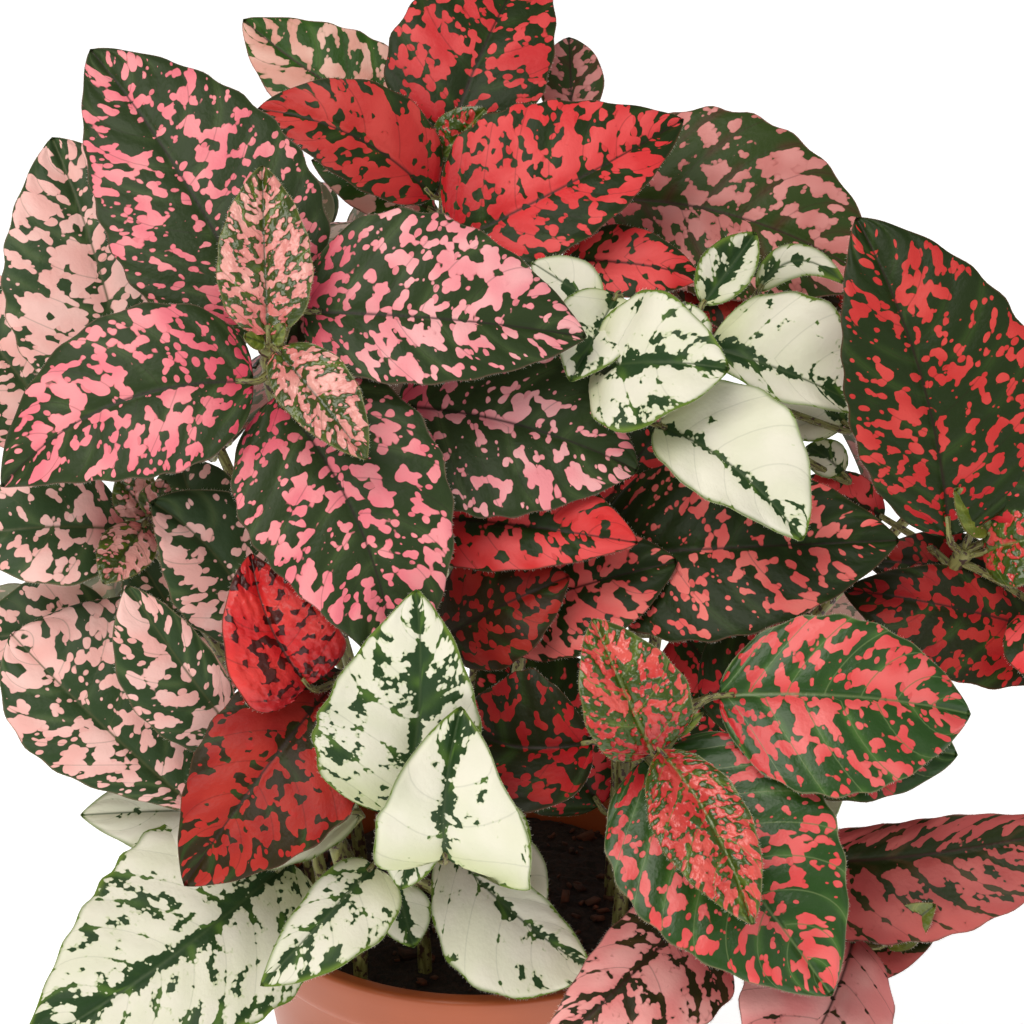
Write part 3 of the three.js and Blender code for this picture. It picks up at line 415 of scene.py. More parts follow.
def blade_points(blade, along, across):
    """Points of a leaf blade, and the directions that its upper face looks in there.

    `along` runs from 0 at the blade's base to 1 at its tip, `across` from -1 to 1 over its width.
    arch and bow bend the midrib out of the blade and sideways, fold lifts both halves, curl rolls
    the outer part of each half, wave ruffles the margin, belly is where the blade is widest, and
    skew makes its left half wider than its right one.
    What comes back with them is the distance from the midrib and from the edge, how many side veins
    have been passed, which half a point is in and how far out in it.
    """
    axis, normal, left = blade_axes(blade)
    length = np.linalg.norm(blade["tip"] - blade["base"])
    arch = blade.get("arch", 0)
    bow = blade.get("bow", 0)
    fold = blade.get("fold", BLADE_FOLD)
    curl = blade.get("curl", (0, 0))
    belly = blade.get("belly")
    row = along[..., None]
    bend = 4 * row * (1 - row)
    slope = 4 * (1 - 2 * row)
    middle = blade["base"] + axis * length * row + normal * arch * bend + left * bow * bend
    tangent = units(axis * length + normal * arch * slope + left * bow * slope)
    side = units(left - tangent * (tangent @ left)[..., None])
    upper = np.cross(tangent, side)

    base_power = OUTLINE_TIP_POWER * belly / (1 - belly) if belly else OUTLINE_BASE_POWER
    widest = base_power / (base_power + OUTLINE_TIP_POWER)
    peak = widest ** base_power * (1 - widest) ** OUTLINE_TIP_POWER
    hand = np.where(across < 0, -1.0, 1.0)
    reach = np.abs(across)
    outline = along ** base_power * (1 - along) ** OUTLINE_TIP_POWER / peak
    half = 0.5 * blade["width"] * (1 + blade.get("skew", 0) * hand) * outline

    count = max(FEWEST_VEINS, round(length / VEIN_SPACING))
    phase = count * (along - VEIN_ADVANCE * reach ** VEIN_CURVE)
    swell = CRENATION * np.sin(2 * math.pi * phase - 0.5 * math.pi) * reach ** CRENATION_POWER
    half = half * (1 + swell * min(1, blade["width"] / FULL_CRENATION_WIDTH))

    curl_up = np.where(across < 0, curl[1], curl[0])

    def lean(fraction):
        outer = np.maximum(0, (fraction - CURL_START) / (1 - CURL_START))
        return np.radians(fold + BLADE_CUP * fraction + curl_up * outer * outer)

    out = np.zeros(along.shape)
    rise = np.zeros(along.shape)
    for step in range(PROFILE_STEPS):
        angle = lean(reach * (step + 0.5) / PROFILE_STEPS)
        out += half * reach / PROFILE_STEPS * np.cos(angle)
        rise += half * reach / PROFILE_STEPS * np.sin(angle)
    ruffle = np.sin(math.pi * along) * np.sin(2 * math.pi * BLADE_WAVES * along + hand)
    rise += blade.get("wave", 0) * reach * reach * ruffle
    angle = lean(reach)[..., None]
    return {
        "points": middle + side * (hand * out)[..., None] + upper * rise[..., None],
        "facing": upper * np.cos(angle) - side * hand[..., None] * np.sin(angle),
        "rib": half * reach,
        "edge": half * (1 - reach),
        "phase": phase,
        "hand": hand,
        "reach": reach,
    }


class Body:
    """Collects closed shapes and makes one mesh of them.

    Each point carries three vectors for the materials. On a blade, place is where its pattern is
    looked up, region holds the distances from midrib and edge and the side veins passed, and tone
    holds its luck with spots, 1 on its underside, and how far it is from base to tip.
    """

    def __init__(self):
        self.points = []
        self.faces = []
        self.finishes = []
        self.fields = {"place": [], "region": [], "tone": []}
        self.count = 0

    def add(self, points, faces, finish, place=0, region=0, tone=0):
        points = np.asarray(points, float).reshape(-1, 3)
        self.points.append(points)
        self.faces.extend([[corner + self.count for corner in face] for face in faces])
        self.finishes.extend([finish] * len(faces))
        for key, value in (("place", place), ("region", region), ("tone", tone)):
            value = np.broadcast_to(np.asarray(value, float), points.shape)
            self.fields[key].append(value)
        self.count += len(points)

    def make(self, name, materials):
        mesh = bpy.data.meshes.new(name)
        points = np.concatenate(self.points) * MM
        mesh.from_pydata(points.tolist(), [], self.faces)
        mesh.shade_smooth()
        used = sorted(set(self.finishes))
        for finish in used:
            mesh.materials.append(materials[finish])
        index = {finish: i for i, finish in enumerate(used)}
        mesh.polygons.foreach_set("material_index", [index[finish] for finish in self.finishes])
        for key, values in self.fields.items():
            attribute = mesh.attributes.new(key, "FLOAT_VECTOR", "POINT")
            attribute.data.foreach_set("vector", np.concatenate(values).astype(np.float32).ravel())
        mesh.update()
        piece = bpy.data.objects.new(name, mesh)
        bpy.context.scene.collection.objects.link(piece)
        return piece


def grid_faces(rows, columns, start, flip=False):
    """Faces of a sheet of points, which has one more row and column of them."""
    faces = []
    for row in range(rows):
        for column in range(columns):
            a = start + row * (columns + 1) + column
            b = a + columns + 1
            face = [a, a + 1, b + 1, b]
            faces.append(face[::-1] if flip else face)
    return faces


def ring_faces(rows, sides):
    """Faces between closed rings of points that follow each other."""
    faces = []
    for row in range(rows - 1):
        for corner in range(sides):
            a = row * sides + corner
            b = row * sides + (corner + 1) % sides
            faces.append([a, b, b + sides, a + sides])
    return faces


def capped_faces(rows, sides):
    """The same, closed at both ends with the two points that follow the rings."""
    faces = ring_faces(rows, sides)
    last = (rows - 1) * sides
    for corner in range(sides):
        following = (corner + 1) % sides
        faces.append([rows * sides, following, corner])
        faces.append([rows * sides + 1, last + corner, last + following])
    return faces


def add_blade(body, blade, finish, young, coarseness):
    """A closed leaf blade, quilted, with a groove along its midrib and a keel under it."""
    width = blade["width"]
    length = np.linalg.norm(blade["tip"] - blade["base"])
    step = (YOUNG_GRID_STEP if young else GRID_STEP) * coarseness
    rows = max(FEWEST_ROWS, round(length / step))
    columns = max(FEWEST_COLUMNS, 2 * round(width / step / 2))
    even = np.linspace(0, 1, rows + 1)
    along = EVEN_ROWS * even + EASED_ROWS * (0.5 - 0.5 * np.cos(math.pi * even))
    band = min(WIDEST_BAND, EDGE_BAND / (0.5 * width))
    across = np.concatenate([[1], np.linspace(1 - band, band - 1, columns - 1), [-1]])
    along, across = np.meshgrid(along[1:-1], across, indexing="ij")
    surface = blade_points(blade, along, across)
    facing, hand, reach, rib = (surface[key] for key in ("facing", "hand", "reach", "rib"))
    vein = surface["phase"] + VEIN_OFFSET * hand
    shift = PUCKER_SHIFT * random.random(2)
    inward = np.clip(surface["edge"] / MARGIN_WIDTH, 0, 1)
    hump = np.abs(np.sin(math.pi * vein)) ** QUILT_POWER
    cells = cell_domes(
        (along * length + PUCKER_SLANT * rib) / PUCKER_CELL + shift[0],
        hand * rib / PUCKER_CELL + shift[1],
    )
    size = min(1, width / FULL_RELIEF_WIDTH)
    pucker = YOUNG_PUCKER if young else OLD_PUCKER
    margin, inner = QUILT_SHARES
    height = QUILT * size * hump * np.clip(rib / QUILT_START, 0, 1) * (margin + inner * inward)
    height = height + pucker * cells * inward * np.clip(rib / PUCKER_START, 0, 1)
    height = height - RIB_GROOVE * size * bell(rib, RIB_WIDTH)
    margin, inner = THICKNESS_SHARES
    thin = BLADE_HALF_THICKNESS * (margin + inner * inward)
    keel = RIB_KEEL * size * bell(rib, RIB_WIDTH) * (1 - along)
    points = surface["points"] + facing * height[..., None]
    top = points + facing * thin[..., None]
    low = points - facing * (thin + keel)[..., None]

    sweep = PATTERN_SWEEP * VEIN_ADVANCE * reach ** VEIN_CURVE
    place = np.stack([
        (along - sweep) * length + PATTERN_SHIFT * shift[0],
        hand * rib * PATTERN_STRETCH + PATTERN_SHIFT * shift[1],
        np.zeros(rib.shape),
    ], axis=-1)
    region = np.stack([rib, surface["edge"], vein], axis=-1)
    luck = blade.get("spots", random.random())
    tone = np.stack([np.full(rib.shape, luck), np.zeros(rib.shape), along], axis=-1)
    under = tone + np.array([0, 1, 0])

    def both(upper, lower):
        """Values on both faces and then at the blade's base and tip."""
        ends = upper[[0, -1], (columns + 1) // 2]
        return np.concatenate([upper.reshape(-1, 3), lower.reshape(-1, 3), ends])

    ends = np.stack([blade["base"], blade["tip"]])
    points = np.concatenate([top.reshape(-1, 3), low.reshape(-1, 3), ends])
    wide = columns + 1
    sheet = (rows - 1) * wide
    last = sheet - wide
    faces = grid_faces(rows - 2, columns, 0, flip=True) + grid_faces(rows - 2, columns, sheet)
    for row in range(rows - 2):
        a = row * wide
        b = a + wide
        faces.append([a, b, sheet + b, sheet + a])
        a += columns
        b += columns
        faces.append([b, a, sheet + a, sheet + b])
    base, tip = 2 * sheet, 2 * sheet + 1
    for column in range(columns):
        faces.append([base, column + 1, column])
        faces.append([base, sheet + column, sheet + column + 1])
        faces.append([tip, last + column, last + column + 1])
        faces.append([tip, sheet + last + column + 1, sheet + last + column])
    faces.append([base, 0, sheet])
    faces.append([base, sheet + columns, columns])
    faces.append([tip, sheet + last, last])
    faces.append([tip, last + columns, sheet + last + columns])
    body.add(points, faces, finish, both(place, place), both(region, region), both(tone, under))
    return top, low


def bezier(points, along):
    along = np.asarray(along, float)[..., None]
    a, b, c, d = points
    back = 1 - along
    return back ** 3 * a + 3 * back ** 2 * along * b + 3 * back * along ** 2 * c + along ** 3 * d


def path_length(path):
    """How far along the path each of its points is."""
    return np.concatenate([[0], np.cumsum(np.linalg.norm(np.diff(path, axis=0), axis=1))])


def along_path(places, length, values):
    """Values that belong to the points of a path, at other places along it."""
    return np.stack([np.interp(places, length, values[:, axis]) for axis in range(3)], axis=1)


TUBE_GROOVE = 0.3
TUBE_GROOVE_WIDTH = 0.6
TUBE_SHIFT = 900
TUBE_PATTERN_RADIUS = 2


def add_tube(body, path, radii, sides, groove=None):
    """A closed tube along a path. A groove direction flattens its upper side into a channel."""
    tangents = units(np.gradient(path, axis=0))
    side = np.array([1.0, 0.0, 0.0]) if groove is None else np.cross(groove, tangents[0])
    angles = 2 * math.pi * np.arange(sides) / sides
    reach = np.full(sides, 1.0)
    if groove is not None:
        reach -= TUBE_GROOVE * bell(angles - 0.5 * math.pi, TUBE_GROOVE_WIDTH)
    points = []
    for centre, tangent, radius in zip(path, tangents, radii):
        side = unit(side - tangent * np.dot(side, tangent))
        other = np.cross(tangent, side)
        outward = np.cos(angles)[:, None] * side + np.sin(angles)[:, None] * other
        points.append(centre + radius * reach[:, None] * outward)
    points = np.concatenate(points + [path[:1], path[-1:]])
    rows = len(path)
    length = path_length(path)
    shift = TUBE_SHIFT * random.random()
    place = np.zeros((len(points), 3))
    place[:-2, 0] = np.repeat(length, sides) + shift
    place[:-2, 1] = np.tile(np.sin(angles) * TUBE_PATTERN_RADIUS, rows)
    place[:-2, 2] = np.tile(np.cos(angles) * TUBE_PATTERN_RADIUS, rows)
    place[-2:, 0] = length[[0, -1]] + shift
    # No material reads a tube's luck. Its draw keeps the later draws as they are.
    luck = random.random()
    body.add(points, capped_faces(rows, sides), "stem", place, tone=(luck, 0, 0))


HAIR_RADIUS = 0.028
HAIR_LENGTH = 0.5
HAIR_LENGTH_DRAW = (0.6, 0.8)
HAIR_SCATTER = 0.35
HAIR_CORNER = (0.5, 0.87)
HAIR_FACES = np.array([[0, 1, 2], [0, 3, 1], [1, 3, 2], [2, 3, 0]])
MARGIN_HAIR_SWEEP = 0.4
STALK_HAIR_SWEEP = 0.2
STALK_HAIR_ROOT = 0.92
SMALL = 1e-9


def add_hairs(body, roots, directions):
    """Fine pointed hairs, each a closed spike with three sides."""
    count = len(roots)
    if not count:
        return
    directions = units(directions + HAIR_SCATTER * random.standard_normal((count, 3)))
    side = units(np.cross(directions, random.standard_normal((count, 3)))) * HAIR_RADIUS
    other = np.cross(directions, side)
    low, spread = HAIR_LENGTH_DRAW
    lengths = HAIR_LENGTH * (low + spread * random.random(count))
    back, out = HAIR_CORNER
    points = np.stack([
        roots + side,
        roots - back * side + out * other,
        roots - back * side - out * other,
        roots + directions * lengths[:, None],
    ], axis=1)
    faces = HAIR_FACES[None] + 4 * np.arange(count)[:, None, None]
    body.add(points, faces.reshape(-1, 3).tolist(), "hair")


def margin_hairs(body, top, low, density):
    """Hairs along both margins of a blade, pointing outward and a little toward the tip."""
    middle = 0.5 * (top + low)
    for edge, inner in ((0, 1), (-1, -2)):
        line = middle[:, edge]
        length = path_length(line)
        places = np.sort(random.random(int(length[-1] * density))) * length[-1]
        roots = along_path(places, length, line)
        outward = roots - along_path(places, length, middle[:, inner])
        outward = outward / (np.linalg.norm(outward, axis=1, keepdims=True) + SMALL)
        add_hairs(body, roots, outward + MARGIN_HAIR_SWEEP * unit(line[-1] - line[0]))


def stalk_hairs(body, path, radii, density):
    """Hairs that stand out all round a stem or a petiole."""
    length = path_length(path)
    count = int(length[-1] * density)
    places = random.random(count) * length[-1]
    centres = along_path(places, length, path)
    along = units(along_path(places, length, np.gradient(path, axis=0)))
    outward = random.standard_normal((count, 3))
    outward = units(outward - along * (outward * along).sum(axis=1, keepdims=True))
    roots = centres + outward * (STALK_HAIR_ROOT * np.interp(places, length, radii))[:, None]
    add_hairs(body, roots, outward + STALK_HAIR_SWEEP * along)


def stem_line(stem):
    start = np.array([stem["root"][0], stem["root"][1], SOIL_TOP + SOIL_CROWN], float)
    return start, start + FOOT_RISE * UPRIGHT, stem["bend"], stem["end"]


def stem_point(line, along):
    """Where a petiole starts. The solids' stems have straight steps, and so has this."""
    step = min(math.floor(along * STEM_STEPS), STEM_STEPS - 1)
    low = bezier(line, step / STEM_STEPS)
    high = bezier(line, (step + 1) / STEM_STEPS)
    return low + (high - low) * (along * STEM_STEPS - step)


def midrib_point(blade, along):
    return blade_points(blade, np.array([along]), np.array([0.0]))["points"][0]


PETIOLE_AIM = 0.02
PETIOLE_END = 0.06
PETIOLE_STEP = 1.6
FEWEST_PETIOLE_ROWS = 5


def petiole_line(blade, start):
    base = blade["base"]
    into_blade = unit(midrib_point(blade, PETIOLE_AIM) - base)
    span = np.linalg.norm(start - base)
    lift = start + PETIOLE_PULLS[0] * (base - start) + PETIOLE_RISE * span * UPRIGHT
    pull = base - into_blade * PETIOLE_PULLS[1] * span
    along = np.linspace(0, 1, max(FEWEST_PETIOLE_ROWS, round(span / PETIOLE_STEP)))
    path = bezier((start, lift, pull, base), along)
    return np.concatenate([path, midrib_point(blade, PETIOLE_END)[None]])


# The looks of the leaves. Colours are sRGB; lengths are in millimetres.
#   spot, pale, deep: the spots' two colours, and the one that they take toward the blade's base
#   ground, halo: the green between the spots, and its tint beside the side veins
#   line, rim, under: the veins' colour, the margin's, and the tint of the underside
#   cover: how much of the blade the spots take; blotch: their size
#   lobe, knots: size and strength of the round bumps on their outlines; detail roughens these
#   dots, dots_size: spacing and extra size of the small spots between them
#   rib, margin, vein: how the ground stays free of spots along these, each as (strength, width)
#   veined, rim_width: how strongly the side veins are drawn, and how wide the rim is
#   edge_haze: how strongly the ground takes the rim's colour along the margin
#   fringe, fringe_share, fringe_colour: the width, strength and colour of the spots' darker edge
#   relief: how far the spots stand off the ground; skin: the strength of all fine relief
#   roughness, gloss: the shine of the surface
PINK = dict(
    spot=(0.93, 0.49, 0.54), pale=(0.96, 0.60, 0.62), deep=(0.82, 0.27, 0.36),
    ground=(0.17, 0.23, 0.11), halo=(0.25, 0.32, 0.17), cover=-0.02, blotch=3.0,
    lobe=1.9, knots=0.26, rib=(0.10, 0.8), margin=(0.14, 1.0), vein=(0.05, 0.45),
    dots=2.3, dots_size=0.0, line=(0.17, 0.15, 0.12), rim=(0.42, 0.33, 0.27),
    under=(0.42, 0.42, 0.33), roughness=0.45, gloss=0.2, skin=0.3, relief=0.0,
    detail=0.6, veined=0.35, edge_haze=0.0, fringe=0.04, fringe_share=0.35,
    rim_width=0.22, fringe_colour=(0.80, 0.33, 0.38),
)
BLUSH = dict(
    PINK, spot=(0.94, 0.71, 0.68), pale=(0.96, 0.78, 0.75), deep=(0.86, 0.48, 0.48),
    ground=(0.19, 0.27, 0.15), halo=(0.29, 0.37, 0.22), cover=-0.01, blotch=3.6,
    line=(0.30, 0.33, 0.20), rim=(0.50, 0.45, 0.34), under=(0.56, 0.56, 0.45),
    fringe_colour=(0.88, 0.60, 0.57),
)
RED = dict(
    PINK, spot=(0.86, 0.22, 0.23), pale=(0.91, 0.34, 0.34), deep=(0.68, 0.09, 0.12),
    ground=(0.12, 0.18, 0.05), halo=(0.18, 0.26, 0.09), cover=-0.04, blotch=2.9,
    line=(0.16, 0.10, 0.07), rim=(0.36, 0.24, 0.16), under=(0.42, 0.24, 0.20),
    fringe_colour=(0.74, 0.12, 0.12),
)
SCARLET = dict(
    RED, spot=(0.88, 0.30, 0.30), pale=(0.92, 0.42, 0.41), deep=(0.77, 0.14, 0.16),
    ground=(0.14, 0.28, 0.07), halo=(0.27, 0.42, 0.16), line=(0.40, 0.48, 0.28),
    rim=(0.55, 0.52, 0.38), cover=-0.03, gloss=0.4, roughness=0.36, veined=0.8,
)
ROSE = dict(
    PINK, spot=(0.91, 0.55, 0.54), pale=(0.96, 0.68, 0.66), deep=(0.78, 0.30, 0.32),
    ground=(0.17, 0.16, 0.06), halo=(0.28, 0.23, 0.12), cover=0.20, lobe=1.2,
    knots=0.15, rib=(0.20, 1.1), vein=(0.18, 0.8), margin=(0.08, 0.6),
    line=(0.22, 0.13, 0.10), rim=(0.55, 0.36, 0.32), detail=1.8, dots_size=-0.15,
    fringe=0.07, fringe_colour=(0.62, 0.26, 0.24),
)
WHITE = dict(
    PINK, spot=(0.87, 0.87, 0.78), pale=(0.90, 0.89, 0.82), deep=(0.78, 0.80, 0.63),
    ground=(0.15, 0.25, 0.12), halo=(0.30, 0.42, 0.16), cover=0.20, blotch=3.3,
    lobe=1.0, knots=0.14, rib=(0.25, 1.8), margin=(0.16, 0.5), vein=(0.10, 0.5),
    line=(0.24, 0.32, 0.18), rim=(0.40, 0.50, 0.18), under=(0.66, 0.70, 0.52),
    detail=2.6, dots=1.7, dots_size=-0.32, fringe=0.06, fringe_share=0.5,
    edge_haze=0.9, fringe_colour=(0.66, 0.73, 0.48), veined=0.16, rim_width=0.6,
)
YOUNG_PINK = dict(
    PINK, spot=(0.88, 0.56, 0.53), pale=(0.92, 0.66, 0.62), deep=(0.80, 0.40, 0.38),
    ground=(0.22, 0.28, 0.05), halo=(0.36, 0.43, 0.09), cover=0.01, blotch=1.7,
    lobe=1.2, dots=1.3, line=(0.20, 0.25, 0.10), rim=(0.50, 0.48, 0.28),
    under=(0.50, 0.52, 0.30), gloss=0.6, roughness=0.24, relief=1.2, skin=0.55,
)
YOUNG_RED = dict(
    YOUNG_PINK, spot=(0.79, 0.22, 0.20), pale=(0.87, 0.35, 0.31), deep=(0.64, 0.13, 0.13),
    ground=(0.22, 0.30, 0.03), halo=(0.34, 0.42, 0.08), line=(0.42, 0.48, 0.22),
    fringe_colour=(0.55, 0.08, 0.10), veined=0.7, cover=-0.03,
)
LOOKS = {
    "pink": PINK,
    # A copy of pink with paler spots: painted light on blades that catch more of the lamp.
    "pink_pale": dict(PINK, spot=(0.94, 0.58, 0.61), pale=(0.97, 0.70, 0.71)),
    "blush": BLUSH,
    "red": RED,
    # Paler spots than red: painted light on blades that face the lamp.
    "red_light": dict(RED, spot=(0.92, 0.37, 0.36), pale=(0.96, 0.50, 0.47)),
    "red_top": dict(RED, spot=(0.80, 0.21, 0.22), pale=(0.87, 0.31, 0.31)),
    # Darker spots than red: painted shade on blades that get less light.
    "red_dim": dict(RED, spot=(0.75, 0.20, 0.19), pale=(0.81, 0.28, 0.26)),
    "red_bright": dict(RED, cover=0.14, spot=(0.84, 0.20, 0.20), margin=(0.1, 0.5)),
    "red_deep": dict(
        RED, cover=0.02, spot=(0.60, 0.12, 0.10), pale=(0.68, 0.19, 0.15),
        deep=(0.46, 0.07, 0.06), ground=(0.17, 0.13, 0.03),
    ),
    # Darker spots and ground than red: painted shade on folded and back blades that lie in shade.
    "red_dark": dict(
        RED, cover=-0.05, spot=(0.60, 0.11, 0.12), pale=(0.68, 0.18, 0.16),
        ground=(0.12, 0.14, 0.04),
    ),
    "scarlet": SCARLET,
    "rose": ROSE,
    "rose_dusky": dict(
        ROSE, cover=0.19, spot=(0.66, 0.29, 0.28), pale=(0.74, 0.37, 0.35),
        rib=(0.36, 2.4), ground=(0.13, 0.17, 0.04), vein=(0.24, 0.9),
    ),
    "rose_green": dict(
        ROSE, cover=0.0, spot=(0.86, 0.62, 0.56), pale=(0.92, 0.74, 0.68),
        ground=(0.17, 0.30, 0.08), halo=(0.26, 0.40, 0.14), blotch=3.4, detail=0.6,
        fringe_colour=(0.60, 0.50, 0.36),
    ),
    "rose_dim": dict(
        ROSE, cover=0.05, spot=(0.80, 0.49, 0.47), pale=(0.86, 0.58, 0.56),
        ground=(0.20, 0.27, 0.10), blotch=3.4, detail=0.6,
    ),
    "white": WHITE,
    "young_pink": YOUNG_PINK,
    "young_red": YOUNG_RED,
    "young_deep": dict(
        RED, cover=0.15, blotch=2.2, lobe=1.3, spot=(0.80, 0.13, 0.15),
        pale=(0.88, 0.24, 0.22), relief=0.7, skin=0.5, gloss=0.4, roughness=0.36,
        ground=(0.26, 0.05, 0.03), halo=(0.30, 0.09, 0.05), margin=(0.05, 0.5),
    ),
    "bud": dict(
        YOUNG_PINK, cover=-0.2, ground=(0.36, 0.42, 0.12), halo=(0.50, 0.54, 0.22),
        spot=(0.70, 0.62, 0.40), relief=0.0,
    ),
}
STEM_COLOUR = (0.38, 0.36, 0.18)
STEM_PALE = (0.55, 0.55, 0.32)
STEM_DARK = (0.25, 0.15, 0.12)
HAIR_COLOUR = (0.92, 0.90, 0.84)
POT_COLOUR = (0.62, 0.29, 0.13)
POT_PALE = (0.69, 0.34, 0.17)
# Dark brown of painted shade on the pot's inner wall.
POT_INNER_SHADE = (0.17, 0.08, 0.05)
SOIL_DARK = (0.07, 0.04, 0.03)
SOIL_PALE = (0.20, 0.12, 0.08)
BARK_DARK = (0.13, 0.07, 0.05)
BARK_PALE = (0.48, 0.24, 0.13)
BARK_GRAIN = (0.30, 0.17, 0.10)


def linear(colour):
    return [c / 12.92 if c <= 0.04045 else ((c + 0.055) / 1.055) ** 2.4 for c in colour] + [1.0]


class Shader:
    """Short ways to add nodes to one material and to join them."""

    def __init__(self, name):
        self.material = bpy.data.materials.new(name)
        self.material.use_nodes = True
        self.nodes = self.material.node_tree.nodes
        self.links = self.material.node_tree.links
        self.surface = self.nodes["Principled BSDF"]

    def put(self, socket, value):
        """Joins another node's output to a socket, or gives it a value. A colour is sRGB."""
        if isinstance(value, bpy.types.NodeSocket):
            self.links.new(value, socket)
        elif socket.type == "RGBA":
            socket.default_value = linear(value)
        else:
            socket.default_value = value

    def node(self, kind, values, output=0, **settings):
        """Adds a node with its settings and the values of its inputs, and gives back one output."""
        node = self.nodes.new("ShaderNode" + kind)
        for name, setting in settings.items():
            setattr(node, name, setting)
        for name, value in values.items():
            self.put(node.inputs[name], value)
        return node.outputs if output is None else node.outputs[output]

    def field(self, name):
        return self.node("Attribute", {}, "Vector", attribute_name=name)

    def position(self):
        """Where the point stands, in millimetres."""
        return self.vector("SCALE", self.node("NewGeometry", {}, "Position"), 1 / MM)

    def split(self, vector):
        return self.node("SeparateXYZ", {0: vector}, None)

    def math(self, operation, a, b=0.0, c=0.0):
        return self.node("Math", {0: a, 1: b, 2: c}, operation=operation)

    def vector(self, operation, a, b):
        second = "Scale" if operation == "SCALE" else 1
        return self.node("VectorMath", {0: a, second: b}, operation=operation)

    def mix(self, share, a, b):
        return self.node("Mix", {0: share, 6: a, 7: b}, 2, data_type="RGBA")

    def noise(self, place, scale, detail=2.0, roughness=0.5):
        values = {"Vector": place, "Scale": scale, "Detail": detail, "Roughness": roughness}
        return self.node("TexNoise", values, "Fac")

    def cells(self, place, scale):
        return self.node("TexVoronoi", {"Vector": place, "Scale": scale}, None, voronoi_dimensions="2D")

    def step(self, value, low, high):
        """0 at low and 1 at high, smooth between. Low may be the higher one."""
        return self.node("MapRange", {0: value, 1: low, 2: high}, interpolation_type="SMOOTHSTEP")

    def fade(self, distance, width):
        """1 at no distance, falling to 0 over about twice the width."""
        share = self.math("DIVIDE", distance, width)
        return self.math("POWER", math.exp(-1), self.math("MULTIPLY", share, share))

    def bump(self, height, strength, distance):
        return self.node("Bump", {"Strength": strength, "Distance": distance * MM, "Height": height})

    def finish(self, **inputs):
        for name, value in inputs.items():
            self.put(self.surface.inputs[name.replace("_", " ")], value)
        return self.material


# The spots' pattern. Lengths are in millimetres, and levels are those of a noise from 0 to 1.
EDGE_SOFTNESS = 0.012
SPOTS_RANGE = 0.2
BROAD_RATIO = 3.2
BROAD_SHARE = 0.5
LOBE_MIDDLE = 0.42
DOT_SPREAD = 0.62
DOT_SHIFT = 0.26
DOT_SHARE = 1.1
DOT_SOFTNESS = 0.05
DOT_STRETCH = (1.0, 0.75, 1.0)
TINT_SIZE = 9
PALE_LEVELS = (0.35, 0.65)
DEEP_REACH = 0.3
HALO_WIDTH = 1.2
HALO_LEVELS = (0.4, 0.6)
EDGE_HAZE_WIDTH = 1.0
MIDRIB_WIDTH = (0.42, -0.25)
MIDRIB_STRENGTH = 0.85
VEIN_LINE_WIDTH = 0.16
RIM_STRENGTH = 0.8
UNDER_STRENGTH = 0.6
RELIEF_LEVELS = (0.38, 0.62)
SKIN_SCALE = 0.9
SKIN_DEPTH = 0.5


